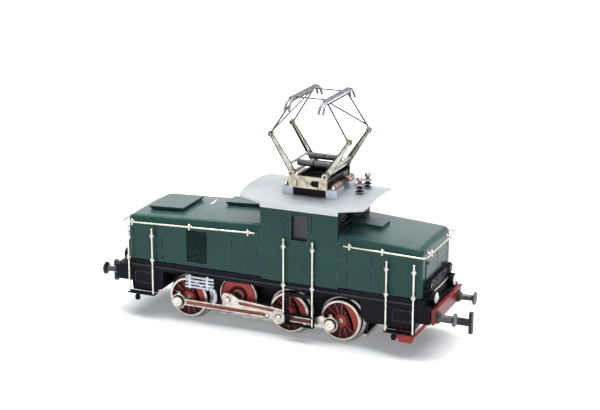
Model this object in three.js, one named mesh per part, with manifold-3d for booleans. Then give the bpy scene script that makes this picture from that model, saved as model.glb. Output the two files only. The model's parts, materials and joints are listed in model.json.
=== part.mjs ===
// A model electric shunting locomotive with a centre cab, coupling rods and a diamond pantograph.
// Millimetres, +Z up, X along the track with the front end at +X, the near side at -Y.
// The wheel flanges stand on z = 0.
import * as THREE from 'three';
import { mergeVertices } from 'three/addons/utils/BufferGeometryUtils.js';
import Module from 'manifold-3d';

const wasm = await Module();
wasm.setup();

// General fits
const gap = 0.3;
const runningGap = 0.15;
const roundSides = 16;
const pinSides = 8;
const wireSides = 5;

// Wheels and axles
const flangeRadius = 7.3;
const flangeThickness = 0.7;
const treadRadius = 6.4;
const rimInnerRadius = 5.5;
const webFaceY = 9.4;
const wheelBackY = 7.1;
const wheelFaceY = 10.2;
const axleRadius = 1.2;
const hubRadius = 2.0;
const hubProud = 0.35;
const spokeCount = 14;
const spokeWidth = 0.4;
const weightSpread = THREE.MathUtils.degToRad(62);
const weightBulge = 4.15;
const wheelSides = 18;
const axleX = [-28.15, 5.5, 22.1];
const axleZ = flangeRadius;
const jackX = (axleX[0] + axleX[1]) / 2;
const jackZ = 10.3;
const discRadius = 6.15;
const discThickness = 1.4;

// Cranks and coupling rods
const crankRadius = 2.75;
const crankAngle = THREE.MathUtils.degToRad(202);
const quarterTurn = Math.PI / 2;
const pinRadius = 0.75;
const rodBackY = 10.95;
const rodThickness = 1.15;
const rodHeight = 1.9;
const fluteHeight = 1.15;
const rodEyeRadius = 2.35;
const nutRadius = 1.65;
const nutThickness = 0.6;
const bossRadius = 1.4;

// Frame
const frameTop = 18.4;
const frameHalfWidth = 13.0;
const frameDeckThickness = 2.4;
const beamFaceX = 51.9;
const beamThickness = 0.9;
const beamHalfWidth = frameHalfWidth - gap;
const beamBottom = 11.2;
const beamTop = 15.7;
const skirtThickness = 0.6;
const skirtBottom = 15.4;
const archClearance = 1.6;
const boxBottom = 9.1;
const boxFaceY = frameHalfWidth - gap;
const sideWallBottom = 9.2;
const boxInnerX = 36.5;
const boxOuterX = 46.3;
const innerPlateY = 5.3;
const innerPlateThickness = 1.4;
const innerPlateBottom = 3.4;
const crossPlateThickness = 0.8;
const lampBoardHeight = 4.4;
const lampBoardThickness = 1.0;
const lampBoardHalfWidth = 10.6;

// Shell
const wall = 1.0;
const hoodHalfWidth = frameHalfWidth + 0.1;
const hoodShoulderWidth = 1.4;
const hoodShoulderRise = 2.1;
const hoodCrown = 0.3;
const hoodCornerRadius = 2.2;
const rearHoodEnd = -47.2;
const frontHoodEnd = 48.0;
const rearHoodEndHeight = 30.4;
const rearHoodCabHeight = 32.7;
const frontHoodEndHeight = 31.3;
const frontHoodCabHeight = 33.0;
const cabRear = -2.4;
const cabFront = 22.2;
const cabHalfWidth = frameHalfWidth + 0.27;
const cabDrop = 0.6;
const cabSideTop = 41.6;
const windowLeft = 7.3;
const windowRight = 12.7;
const windowBottom = 31.2;
const windowTop = 39.25;
const endWindowWidth = 9.4;
const endWindowMiddleY = 5.7;
const endWindowBottom = 36.4;
const endWindowTop = 40.0;
const paneThickness = 0.6;
const paneMargin = 0.9;
const grooveDepth = 0.25;
const grooveWidth = 0.3;
const louvreLeft = -27.2;
const louvreRight = -20.2;
const louvreBottom = 19.9;
const louvreTop = 30.0;
const louvreDepth = 0.35;

// Roof
const roofCrownZ = 44.4;
const roofSideZ = 42.6;
const roofThickness = 0.8;
const roofHalfWidth = cabHalfWidth + 0.83;
const roofWing = 7.8;
const roofWingHalfWidth = 11.6;
const roofWingCorner = 1.4;
const roofLipThickness = 0.5;
const roofLipBottom = 40.6;
const roofSteps = 10;

// Rails, steps and small fittings
const railY = frameHalfWidth + 1.4;
const railRadius = 0.25;
const railCornerRadius = 2.6;
const handrailRadius = 0.32;
const cabRailRise = 13.6;
const endRailRise = 11.1;
const knobRadius = 0.55;
const knobHeight = 0.9;
const handrailX = [-46.35, -38.2, 5.5, 14.7, 37.7, 46.0];
const stepThickness = 0.4;
const endStepZ = 7.9;
const cabStepZ = 5.4;
const upperTreadZ = 8.3;
const cabApronBottom = 13.9;
const stepFrontY = railY + 0.55;
const stepKnobRadius = 0.8;
const stepKnobBottom = 5.4;
const strapNeckZ = 9.5;

// Ends
const bufferHeadX = 57.5;
const bufferY = beamHalfWidth - 2.95;
const bufferZ = 12.7;
const bufferHeadRadius = 2.0;
const bufferHeadThickness = 0.6;
const bufferShaftRadius = 0.9;
const bufferFootRadius = 1.5;
const couplerFaceX = 59.6;
const couplerPivotX = 46.5;
const couplerZ = 8.7;
const couplerBarHeight = 2.0;
const couplerBarWidth = 1.2;
const couplerHeadHeight = 7.0;
const couplerHeadWidth = 2.0;
const couplerHeadThickness = 1.0;
const couplerStudRadius = 0.8;
const lampY = bufferY - 1.15;
const lampZ = 18.25;
const lampRadius = 1.9;
const lampDepth = 1.7;
const lensRadius = 1.25;
const bracketLampRadius = 1.4;
const markerY = 11.2;
const markerZ = 38.2;
const markerRadius = 0.75;

// Pantograph
const pantographX = 11.0;
const basePivotHalf = 5.3;
const basePivotZ = 50.4;
const armLength = 13.0;
const armRestAngle = THREE.MathUtils.degToRad(57.2);
const armY = 7.85;
const armPlate = 0.7;
const armFootWidth = 2.1;
const armTopWidth = 1.1;
const upperWireRadius = 0.22;
const pantographPinRadius = 0.4;
const footX = 6.95;
const footLength = 3.5;
const footInnerY = 2.2;
const footOuterY = 8.1;
const footTop = 46.3;
const sleeveX = 7.5;
const sleeveRadius = 0.95;
const baseSideHalf = 6.1;
const baseSideY = 8.75;
const baseBottom = 46.4;
const baseTop = 50.0;
const stripHalf = 9.2;
const stripWidth = 1.5;
const stripHeight = 0.9;
const hornDrop = 3.0;
const hornReach = 3.2;
const springY = 4.3;
const springRadius = 0.85;
const springWire = 0.17;
const springCurls = 10;
const stepsPerCurl = 8;
const springLift = 2.7;

// Drive
const gearModule = 0.5;
const axleTeeth = 16;
const idlerTeeth = 20;
const pinionTeeth = 10;
const gearInnerY = 3.6;
const gearThickness = 1.4;
const armatureRadius = 6.4;
const armatureHalfLength = 2.7;
const shaftRadius = 0.7;
const poleGap = 0.5;
const fieldHalfWidth = 10.2;
const fieldHeight = 17.6;

// Underside
const basePlateZ = 1.9;
const basePlateThickness = 0.9;
const shoeBottom = 0.35;
const shoeThickness = 0.5;
const shoeHalfLength = 24.0;
const shoeWidth = 2.4;

// Turns a closed three.js geometry into a solid that can be joined and cut
function solid(geometry) {
  const bare = geometry.clone();
  bare.deleteAttribute('normal');
  bare.deleteAttribute('uv');
  const merged = mergeVertices(bare, 1e-4);
  const corners = merged.attributes.position.array;
  const faces = Array.from(merged.index.array);
  if (signedVolume(corners, faces) < 0) {
    for (let i = 0; i < faces.length; i += 3) {
      [faces[i], faces[i + 1]] = [faces[i + 1], faces[i]];
    }
  }
  return new wasm.Manifold(new wasm.Mesh({
    numProp: 3,
    vertProperties: Float32Array.from(corners),
    triVerts: Uint32Array.from(faces),
  }));
}

function signedVolume(corners, faces) {
  const [a, b, c] = [new THREE.Vector3(), new THREE.Vector3(), new THREE.Vector3()];
  let total = 0;
  for (let i = 0; i < faces.length; i += 3) {
    a.fromArray(corners, faces[i] * 3);
    b.fromArray(corners, faces[i + 1] * 3);
    c.fromArray(corners, faces[i + 2] * 3);
    total += a.dot(b.cross(c));
  }
  return total;
}

function join(...bodies) {
  return bodies.flat(Infinity).reduce((whole, body) => whole.add(body));
}

function cut(whole, ...tools) {
  return tools.flat(Infinity).reduce((rest, tool) => rest.subtract(tool), whole);
}

// Basic shapes, each given by where it lies
function block(x0, x1, y0, y1, z0, z1) {
  const geometry = new THREE.BoxGeometry(x1 - x0, y1 - y0, z1 - z0);
  geometry.translate((x0 + x1) / 2, (y0 + y1) / 2, (z0 + z1) / 2);
  return solid(geometry);
}

// Turns a geometry whose own axis is Y to lie along the named axis
function alongAxis(geometry, axis) {
  if (axis === 'x') geometry.rotateZ(-Math.PI / 2);
  if (axis === 'z') geometry.rotateX(Math.PI / 2);
  return geometry;
}

function drum(axis, radius, from, to, [x, y, z] = [0, 0, 0], sides = roundSides, endRadius = radius) {
  const geometry = new THREE.CylinderGeometry(endRadius, radius, to - from, sides);
  geometry.translate(0, (from + to) / 2, 0);
  alongAxis(geometry, axis);
  geometry.translate(x, y, z);
  return solid(geometry);
}

function strut(from, to, radius, sides = wireSides) {
  const start = new THREE.Vector3(...from);
  const end = new THREE.Vector3(...to);
  const way = end.clone().sub(start);
  const geometry = new THREE.CylinderGeometry(radius, radius, way.length(), sides);
  geometry.applyQuaternion(new THREE.Quaternion().setFromUnitVectors(
    new THREE.Vector3(0, 1, 0), way.clone().normalize()));
  geometry.translate(...start.add(end).multiplyScalar(0.5).toArray());
  return solid(geometry);
}

// A small knob, drawn as an eight-sided bead that is taller than wide
function knob([x, y, z], radius, height) {
  const geometry = new THREE.OctahedronGeometry(1);
  geometry.scale(radius, radius, height / 2);
  geometry.translate(x, y, z);
  return solid(geometry);
}

function outline(points) {
  return new THREE.Shape(points.map(([u, v]) => new THREE.Vector2(u, v)));
}

function extrude(shape, depth, curveSegments = 12) {
  return new THREE.ExtrudeGeometry(shape, { depth, bevelEnabled: false, curveSegments });
}

// A side profile in X and Z, given thickness across the locomotive
function sidePlate(shape, y0, y1, curveSegments) {
  const geometry = extrude(shape, y1 - y0, curveSegments);
  geometry.rotateX(Math.PI / 2);
  geometry.translate(0, y1, 0);
  return solid(geometry);
}

// A cross-section in Y and Z, given length along the locomotive
function crossPlate(shape, x0, x1, curveSegments) {
  const geometry = extrude(shape, x1 - x0, curveSegments);
  geometry.applyMatrix4(new THREE.Matrix4().makeBasis(
    new THREE.Vector3(0, 1, 0), new THREE.Vector3(0, 0, 1), new THREE.Vector3(1, 0, 0)));
  geometry.translate(x0, 0, 0);
  return solid(geometry);
}

// A turned piece: profile points are [radius, distance along the axis]
function turned(axis, profile, [x, y, z] = [0, 0, 0], sides = roundSides) {
  const geometry = new THREE.LatheGeometry(profile.map(([r, h]) => new THREE.Vector2(r, h)), sides);
  alongAxis(geometry, axis);
  geometry.translate(x, y, z);
  return solid(geometry);
}

// A skin over rings of equal point counts, closed by a fan at each end
function loft(rings) {
  const count = rings[0].length;
  const corners = rings.flat(2);
  const faces = [];
  for (let ring = 0; ring + 1 < rings.length; ring += 1) {
    for (let i = 0; i < count; i += 1) {
      const a = ring * count + i;
      const b = ring * count + ((i + 1) % count);
      faces.push(a, b, b + count, a, b + count, a + count);
    }
  }
  const last = (rings.length - 1) * count;
  for (let i = 1; i + 1 < count; i += 1) {
    faces.push(0, i + 1, i, last, last + i, last + i + 1);
  }
  const geometry = new THREE.BufferGeometry();
  geometry.setAttribute('position', new THREE.Float32BufferAttribute(corners, 3));
  geometry.setIndex(faces);
  return solid(geometry);
}

// A round wire through the given points, with one ring of corners at each point
function sweep(points, radius, firstWay, lastWay = firstWay) {
  const spots = points.map((point) => new THREE.Vector3(...point));
  const last = spots.length - 1;
  let across = new THREE.Vector3();
  const rings = spots.map((spot, i) => {
    const forward = spots[Math.min(i + 1, last)].clone().sub(spots[Math.max(i - 1, 0)]).normalize();
    if (i === 0 && firstWay) forward.set(...firstWay);
    if (i === last && lastWay) forward.set(...lastWay);
    if (i === 0) {
      const aside = Math.abs(forward.z) < 0.9 ? new THREE.Vector3(0, 0, 1) : new THREE.Vector3(1, 0, 0);
      across.crossVectors(forward, aside).normalize();
    } else {
      across = across.addScaledVector(forward, -across.dot(forward)).normalize();
    }
    const up = new THREE.Vector3().crossVectors(across, forward);
    return Array.from({ length: wireSides }, (_, k) => {
      const angle = 2 * Math.PI * k / wireSides;
      return spot.clone()
        .addScaledVector(across, radius * Math.cos(angle))
        .addScaledVector(up, radius * Math.sin(angle)).toArray();
    });
  });
  return loft(rings);
}

// Rounds each inner corner of a path with three points
function rounded(corners, bend) {
  const spots = corners.map((corner) => new THREE.Vector3(...corner));
  const points = [corners[0]];
  for (let i = 1; i + 1 < spots.length; i += 1) {
    const before = spots[i].clone().lerp(spots[i - 1], bend / spots[i].distanceTo(spots[i - 1]));
    const after = spots[i].clone().lerp(spots[i + 1], bend / spots[i].distanceTo(spots[i + 1]));
    const curve = new THREE.QuadraticBezierCurve3(before, spots[i], after);
    points.push(...[0, 0.5, 1].map((t) => curve.getPoint(t).toArray()));
  }
  points.push(corners[corners.length - 1]);
  return points;
}

// Both sides of the locomotive: the near side is at -1
const sides = [-1, 1];
const ends = [-1, 1];

function mirrored(y0, y1, side) {
  return side < 0 ? [-y1, -y0] : [y0, y1];
}

function paint(color, roughness, metalness) {
  return new THREE.MeshStandardMaterial({ color, roughness, metalness });
}

const green = paint(0x35594c, 0.5, 0.05);
const black = paint(0x1e1b24, 0.5, 0.1);
const roofSilver = paint(0xb4b8c0, 0.4, 0.5);
const red = paint(0xa23228, 0.5, 0.05);
const wheelRed = paint(0x8e2420, 0.5, 0.05);
const nickel = paint(0xc8c2b0, 0.3, 0.9);
const warmNickel = paint(0xa89f88, 0.4, 0.9);
const gunmetal = paint(0x4a4a48, 0.4, 0.7);
const silver = paint(0xc4ccd8, 0.35, 0.6);
const copper = paint(0xc58a66, 0.35, 0.8);
const steel = paint(0x8d8d8a, 0.35, 0.9);
const glass = paint(0x6d6672, 0.15, 0.0);
const clear = paint(0xe8ecee, 0.1, 0.0);
const brown = paint(0x5a3d28, 0.6, 0.0);
const brass = paint(0xb99650, 0.35, 0.9);

const locomotive = new THREE.Group();

function piece(name, body, material, parent = locomotive) {
  const mesh = body.getMesh();
  const geometry = new THREE.BufferGeometry();
  geometry.setAttribute('position', new THREE.BufferAttribute(Float32Array.from(mesh.vertProperties), 3));
  geometry.setIndex(new THREE.BufferAttribute(Uint32Array.from(mesh.triVerts), 1));
  geometry.computeVertexNormals();
  const made = new THREE.Mesh(geometry, material);
  made.name = name;
  parent.add(made);
  return made;
}

// Places that follow from the driving dimensions
const frontBoardX = frontHoodEnd + gap;
const rearBoardX = rearHoodEnd - gap;
const frameEndX = beamFaceX - beamThickness - gap;
const deckBottom = frameTop - frameDeckThickness;
const idlerX = axleX[1];
const idlerZ = axleZ + gearModule * (axleTeeth + idlerTeeth) / 2;
const motorX = idlerX;
const motorZ = idlerZ + gearModule * (idlerTeeth + pinionTeeth) / 2;
const pinX = crankRadius * Math.cos(crankAngle);
const pinZ = crankRadius * Math.sin(crankAngle);
const cabMiddle = (cabRear + cabFront) / 2;

// Height of the roof sheet's top above a point across the cab
function roofTop(y) {
  return roofCrownZ - (roofCrownZ - roofSideZ) * (y / roofHalfWidth) ** 2;
}

// The height of a hood's side, which falls from the cab to the hood's end
function hoodShoulder(x) {
  if (x < cabMiddle) {
    return THREE.MathUtils.mapLinear(x, rearHoodEnd, cabRear, rearHoodEndHeight, rearHoodCabHeight);
  }
  return THREE.MathUtils.mapLinear(x, cabFront, frontHoodEnd, frontHoodCabHeight, frontHoodEndHeight);
}

// Height of the hood's top above a point
function hoodTop(x, y) {
  const flat = hoodHalfWidth - hoodShoulderWidth;
  return hoodShoulder(x) + hoodShoulderRise + hoodCrown * (1 - (y / flat) ** 2);
}

// One cross-section of a hood, drawn in by `inset` on the sides and the top
function hoodRing(x, inset, bottom) {
  const steps = 4;
  const half = hoodHalfWidth - inset;
  const shoulder = hoodShoulder(x) - inset;
  const right = [[half, bottom], [half, shoulder]];
  for (let i = 1; i <= steps; i += 1) {
    const angle = (i / steps) * Math.PI / 2;
    const inward = hoodShoulderWidth * (1 - Math.cos(angle));
    right.push([half - inward, shoulder + hoodShoulderRise * Math.sin(angle)]);
  }
  const flat = half - hoodShoulderWidth;
  right.push([flat / 2, shoulder + hoodShoulderRise + hoodCrown * 0.75]);
  const left = right.map(([y, z]) => [-y, z]).reverse();
  return [...right, [0, shoulder + hoodShoulderRise + hoodCrown], ...left].map(([y, z]) => [x, y, z]);
}

function hood(cabX, endX, inset, bottom, steps = 3) {
  const way = Math.sign(endX - cabX);
  const tip = endX - way * inset;
  const rings = [hoodRing(cabX, inset, bottom)];
  for (let i = 0; i <= steps; i += 1) {
    const angle = (i / steps) * Math.PI / 2;
    const x = tip - way * hoodCornerRadius * (1 - Math.sin(angle));
    rings.push(hoodRing(x, inset + hoodCornerRadius * (1 - Math.cos(angle)) * 0.6, bottom));
  }
  return loft(rings);
}

function cabSection(inset, bottom) {
  const half = cabHalfWidth - inset;
  const points = [[-half, bottom], [-half, cabSideTop - inset]];
  for (let i = 1; i < roofSteps; i += 1) {
    const y = -half + (2 * half * i) / roofSteps;
    points.push([y, Math.max(cabSideTop, roofTop(y) - roofThickness - gap) - inset]);
  }
  points.push([half, cabSideTop - inset], [half, bottom]);
  return outline(points);
}

// Body shell: two hoods and the cab, one hollow casting open below
function bodyShell() {
  const hoodBottom = frameTop + gap;
  const cabBottom = hoodBottom - cabDrop;
  const inside = frameTop - 2;
  const overlap = 2;
  let shell = join(
    hood(cabRear + overlap, rearHoodEnd, 0, hoodBottom),
    hood(cabFront - overlap, frontHoodEnd, 0, hoodBottom),
    crossPlate(cabSection(0, cabBottom), cabRear, cabFront));
  shell = cut(shell,
    hood(cabRear + overlap, rearHoodEnd, wall, inside, 1),
    hood(cabFront - overlap, frontHoodEnd, wall, inside, 1),
    crossPlate(cabSection(wall, inside), cabRear + wall, cabFront - wall));
  for (const side of sides) {
    const [y0, y1] = mirrored(cabHalfWidth - wall - 1, cabHalfWidth + 1, side);
    shell = cut(shell, block(windowLeft, windowRight, y0, y1, windowBottom, windowTop));
    shell = cut(shell, louvreRecess(side), panelGrooves(side));
    for (const x of [cabRear, cabFront]) {
      const middle = side * endWindowMiddleY;
      shell = cut(shell, block(x - 2 * wall, x + 2 * wall, middle - endWindowWidth / 2,
        middle + endWindowWidth / 2, endWindowBottom, endWindowTop));
    }
  }
  const screwBoss = drum('z', screwBossRadius, hoodBottom, hoodTop(screwX, 0) - wall / 2, [screwX, 0, 0], 16);
  const screwHole = drum('z', screwRadius + runningGap, hoodBottom - 1, screwTop + gap, [screwX, 0, 0], 12);
  const markers = ends.map((end) => {
    const [x0, x1] = end < 0 ? [cabRear - 1.3, cabRear + 0.4] : [cabFront - 0.4, cabFront + 1.3];
    return drum('x', markerRadius, x0, x1, [0, markerY, markerZ], 12);
  });
  return cut(join(shell, screwBoss, markers, hoodLid(duct, duct.height, false, 0.3)), screwHole);
}

// The louvred panel on each side of the rear hood lies in a shallow recess
function louvreRecess(side) {
  const [y0, y1] = mirrored(hoodHalfWidth - louvreDepth, hoodHalfWidth + 1, side);
  return block(louvreLeft, louvreRight, y0, y1, louvreBottom, louvreTop);
}

// Upright grooves of the doors and panels
function panelGrooves(side) {
  const hoodLines = [-35.5, -12.0, 24.9, 32.4];
  const doorLines = [5.1, 13.8];
  const grooves = hoodLines.map((x) => {
    const [y0, y1] = mirrored(hoodHalfWidth - grooveDepth, hoodHalfWidth + 1, side);
    return block(x, x + grooveWidth, y0, y1, frameTop, hoodShoulder(x) - 1);
  });
  for (const x of doorLines) {
    const [y0, y1] = mirrored(cabHalfWidth - grooveDepth, cabHalfWidth + 1, side);
    grooves.push(block(x, x + grooveWidth, y0, y1, frameTop - 1, windowTop + 1));
  }
  return join(grooves);
}

// Body screw from below the deck into the boss in the front hood
const screwX = 34.0;
const screwRadius = 0.7;
const screwHeadRadius = 1.6;
const screwBossRadius = 2.2;
const screwTop = 25.0;

function bodyScrew() {
  const headTop = deckBottom - gap;
  const head = drum('z', screwHeadRadius, headTop - 0.9, headTop, [screwX, 0, 0], 16);
  const slot = block(screwX - 2, screwX + 2, -0.2, 0.2, headTop - 2, headTop - 0.5);
  return cut(head.add(drum('z', screwRadius, headTop - 0.2, screwTop, [screwX, 0, 0], 12)), slot);
}

// Clear moulding that lines the cab behind its windows
function cabGlazing() {
  const face = cabHalfWidth - wall - gap;
  const rear = cabRear + wall + gap;
  const front = cabFront - wall - gap;
  const endBottom = endWindowBottom - paneMargin / 2;
  const top = endWindowTop + paneMargin / 3;
  const outer = join(
    block(rear, front, -face, face, endBottom, top),
    block(windowLeft - 3, windowRight + 3, -face, face, windowBottom - paneMargin, endBottom + 0.5));
  return cut(outer, block(rear + paneThickness, front - paneThickness,
    -face + paneThickness, face - paneThickness, windowBottom - 5, top + 1));
}

// Cab roof: a thin arched sheet with a wing over each hood and a lip along each side
function roofPlan(inset = 0) {
  const half = (cabFront - cabRear) / 2;
  const end = half + roofWing;
  const sideFlat = half + 0.2;
  const corner = roofWingCorner;
  const plan = new THREE.Shape();
  plan.moveTo(sideFlat, -roofHalfWidth + inset);
  plan.lineTo(end - corner, -roofWingHalfWidth - 0.5);
  plan.quadraticCurveTo(end, -roofWingHalfWidth, end, -roofWingHalfWidth + corner);
  plan.lineTo(end, roofWingHalfWidth - corner);
  plan.quadraticCurveTo(end, roofWingHalfWidth, end - corner, roofWingHalfWidth + 0.5);
  plan.lineTo(sideFlat, roofHalfWidth - inset);
  plan.lineTo(-sideFlat, roofHalfWidth - inset);
  plan.lineTo(-end + corner, roofWingHalfWidth + 0.5);
  plan.quadraticCurveTo(-end, roofWingHalfWidth, -end, roofWingHalfWidth - corner);
  plan.lineTo(-end, -roofWingHalfWidth + corner);
  plan.quadraticCurveTo(-end, -roofWingHalfWidth, -end + corner, -roofWingHalfWidth - 0.5);
  plan.lineTo(-sideFlat, -roofHalfWidth + inset);
  return plan;
}

function cabRoof() {
  const upper = [];
  const lower = [];
  for (let i = 0; i <= roofSteps; i += 1) {
    const y = roofHalfWidth * (2 * i / roofSteps - 1);
    upper.push([y, roofTop(y)]);
    lower.push([y, roofTop(y) - roofThickness]);
  }
  const reach = (cabFront - cabRear) / 2 + roofWing + 1;
  const arch = crossPlate(outline([...upper, ...lower.reverse()]), cabMiddle - reach, cabMiddle + reach);
  const plan = extrude(roofPlan(), roofCrownZ, 6);
  plan.translate(cabMiddle, 0, 5);
  let roof = arch.intersect(solid(plan));
  for (const side of sides) {
    const [y0, y1] = mirrored(roofHalfWidth - roofLipThickness, roofHalfWidth, side);
    roof = roof.add(block(cabRear + 0.2, cabFront - 0.2 + 0.4, y0, y1, roofLipBottom, roofSideZ - 0.1));
  }
  return join(roof, roofFeet());
}

// Flat lids on the hoods
const hatchThickness = 1.1;
const endHatch = { x0: -42.7, x1: -31.0, y0: -7.3, y1: 7.3 };
const cabHatch = { x0: -21.4, x1: -9.0, y0: 2.6, y1: 9.4 };
const duct = { x0: 22.8, x1: 32.2, y0: -3.3, y1: 3.3, height: 1.3 };

// A lid that follows the hood's slope; its underside stays clear of the crowned top
function hoodLid({ x0, x1, y0, y1 }, height, lip, sink = 0) {
  const nearMiddle = y0 * y1 > 0 ? Math.min(Math.abs(y0), Math.abs(y1)) : 0;
  const bottomAt = (x) => hoodTop(x, nearMiddle) + 0.06 - sink;
  const layer = (inset, from, to) => sidePlate(outline([
    [x0 + inset, bottomAt(x0 + inset) + from], [x1 - inset, bottomAt(x1 - inset) + from],
    [x1 - inset, bottomAt(x1 - inset) + to], [x0 + inset, bottomAt(x0 + inset) + to],
  ]), y0 + inset, y1 - inset);
  return lip ? layer(0.35, 0, height * 0.55).add(layer(0, height * 0.5, height)) : layer(0, 0, height);
}

// Chassis frame: deck, side skirts with arches, boxes behind the end steps, inner plates,
// end blocks for the beams and couplers, lamp boards with their lamps, and the motor's cheek
function chassisFrame() {
  const into = deckBottom + 0.5;
  const plateOuter = innerPlateY + innerPlateThickness;
  const skirtInner = frameHalfWidth - skirtThickness;
  const parts = [block(rearBoardX - lampBoardThickness / 2, frontBoardX + lampBoardThickness / 2,
    -frameHalfWidth, frameHalfWidth, deckBottom, frameTop)];
  const tools = [motorWell()];
  for (const side of sides) {
    const skirt = mirrored(skirtInner, frameHalfWidth, side);
    parts.push(block(-boxOuterX - 1, boxOuterX + 1, ...skirt, skirtBottom, into));
    const plate = mirrored(innerPlateY, plateOuter, side);
    parts.push(block(axleX[0] - 7, axleX[2] + 7, ...plate, innerPlateBottom, into));
    for (const end of ends) {
      const along = (from, to) => (end < 0 ? [-to, -from] : [from, to]);
      const wheelEdge = (end < 0 ? -axleX[0] : axleX[2]) + flangeRadius;
      parts.push(block(...along(wheelEdge, boxOuterX - 1.5), ...skirt, sideWallBottom, into));
      const box = mirrored(plateOuter + 0.8, boxFaceY, side);
      parts.push(block(...along(boxInnerX, boxOuterX), ...box, boxBottom, into));
      parts.push(lampHousing(end, side), bracketLamp(end, side));
      tools.push(drum('x', 1.0, ...along(frameEndX - 1.2, frameEndX + 1), [0, side * bufferY, bufferZ], 8));
    }
    const cabInner = mirrored(cabHalfWidth - wall - gap, frameHalfWidth + 1, side);
    tools.push(block(cabRear - gap, cabFront + gap, ...cabInner, frameTop - cabDrop, frameTop + 1));
    const discRoom = mirrored(plateOuter, skirtInner, side);
    tools.push(drum('y', discRadius + gap, ...discRoom, [jackX, 0, jackZ], wheelSides));
    tools.push(axleX.map((x) => drum('y', flangeRadius + archClearance,
      ...mirrored(skirtInner - 0.5, frameHalfWidth + 1, side), [x, 0, axleZ], wheelSides)));
  }
  for (const end of ends) {
    const along = (from, to) => (end < 0 ? [-to, -from] : [from, to]);
    const board = end < 0 ? -rearBoardX : frontBoardX;
    const pivotX = end * couplerPivotX;
    parts.push(
      block(...along(boxInnerX, boxInnerX + crossPlateThickness), -plateOuter - 1, plateOuter + 1,
        boxBottom, into),
      block(...along(boxOuterX - 0.5, frameEndX), -frameHalfWidth, frameHalfWidth,
        beamBottom, deckBottom + 0.3),
      block(...along(couplerPivotX - 2.2, boxOuterX + 0.5), -2.6, 2.6, beamBottom + 0.2, into),
      block(...along(board, board + lampBoardThickness), -lampBoardHalfWidth, lampBoardHalfWidth,
        deckBottom + 0.1, frameTop + lampBoardHeight));
    tools.push(drum('z', couplerStudRadius + gap, beamBottom - 1, beamBottom + 3.2,
      [pivotX, 0, 0], pinSides));
  }
  parts.push(block(motorX - 8, motorX + 8, -plateOuter, -innerPlateY, into, motorZ + 4));
  const across = [-plateOuter - 1, plateOuter + 1];
  const nearOnly = [-plateOuter - 1, 0];
  tools.push(
    axleX.map((x) => drum('y', axleRadius + gap, ...across, [x, 0, axleZ], pinSides)),
    drum('y', axleRadius + gap, ...across, [jackX, 0, jackZ], pinSides),
    drum('y', shaftRadius + runningGap, ...nearOnly, [motorX, 0, motorZ], pinSides),
    drum('y', shaftRadius + runningGap, ...nearOnly, [idlerX, 0, idlerZ], pinSides),
    drum('z', screwRadius + gap, deckBottom - 1, frameTop + 1, [screwX, 0, 0], pinSides));
  return cut(join(parts), tools);
}

// Opening in the deck for the motor and the idler gear
function motorWell() {
  const tip = gearModule * (idlerTeeth / 2 + 1);
  return join(
    block(motorX - fieldHalfWidth - gap, motorX + fieldHalfWidth + gap,
      -armatureHalfLength - gap, innerPlateY, deckBottom - 1, frameTop + 1),
    block(idlerX - tip - gap, idlerX + tip + gap, -innerPlateY, 0, deckBottom - 1, frameTop + 1));
}

function basePlate() {
  const tip = gearModule * (axleTeeth / 2 + 1);
  const half = innerPlateY + innerPlateThickness;
  const plate = block(axleX[0] - 7, axleX[2] + 7, -half, half, basePlateZ, basePlateZ + basePlateThickness);
  return cut(plate,
    block(axleX[1] - tip - 0.5, axleX[1] + tip + 0.5, -innerPlateY, -gearInnerY + gap,
      basePlateZ - 1, basePlateZ + 2),
    pickupPostX.map((x) => drum('z', pickupPostRadius + gap, basePlateZ - 1, basePlateZ + 2, [x, 0, 0], 12)));
}

// Centre pickup shoe with two guide posts that slide up through the base plate
const pickupPostX = [-13.2, 14.2];
const pickupPostRadius = 0.7;

function pickupShoe() {
  const top = shoeBottom + shoeThickness;
  const tip = shoeHalfLength;
  const ski = sidePlate(outline([
    [-tip, top + 0.1], [-tip + 4, shoeBottom], [tip - 4, shoeBottom], [tip, top + 0.1],
    [tip - 0.3, top + 0.45], [tip - 4.2, top], [-tip + 4.2, top], [-tip + 0.3, top + 0.45],
  ]), -shoeWidth / 2, shoeWidth / 2);
  const posts = pickupPostX.map((x) => join(
    drum('z', pickupPostRadius, top - 0.2, basePlateZ + basePlateThickness + 0.5, [x, 0, 0], 12),
    drum('z', pickupPostRadius + 0.6, basePlateZ + basePlateThickness + 0.1,
      basePlateZ + basePlateThickness + 0.6, [x, 0, 0], 12)));
  return join(ski, posts);
}

// Buffer beams with a ledge along the top, and the buffers
function bufferBeam(end) {
  const along = (from, to) => (end < 0 ? [-to, -from] : [from, to]);
  const back = beamFaceX - beamThickness;
  const beam = join(
    block(...along(back, beamFaceX), -beamHalfWidth, beamHalfWidth, beamBottom, beamTop),
    block(...along(back, beamFaceX + 0.4), -beamHalfWidth, beamHalfWidth, beamTop - 0.5, beamTop));
  return cut(beam, sides.map((side) => drum('x', bufferShaftRadius + 0.15,
    ...along(back - 1, beamFaceX + 1), [0, side * bufferY, bufferZ], 16)));
}

function buffer(end, side) {
  const foot = beamFaceX + gap;
  const profile = [
    [0, frameEndX - 0.9], [0.7, frameEndX - 0.9], [0.7, foot], [bufferFootRadius, foot],
    [bufferFootRadius, foot + 0.5], [bufferShaftRadius, foot + 1.2],
    [bufferShaftRadius, bufferHeadX - bufferHeadThickness - 0.3],
    [bufferHeadRadius, bufferHeadX - bufferHeadThickness], [bufferHeadRadius, bufferHeadX], [0, bufferHeadX],
  ].map(([r, x]) => [r, end * x]);
  return turned('x', profile, [0, side * bufferY, bufferZ], 10);
}

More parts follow.
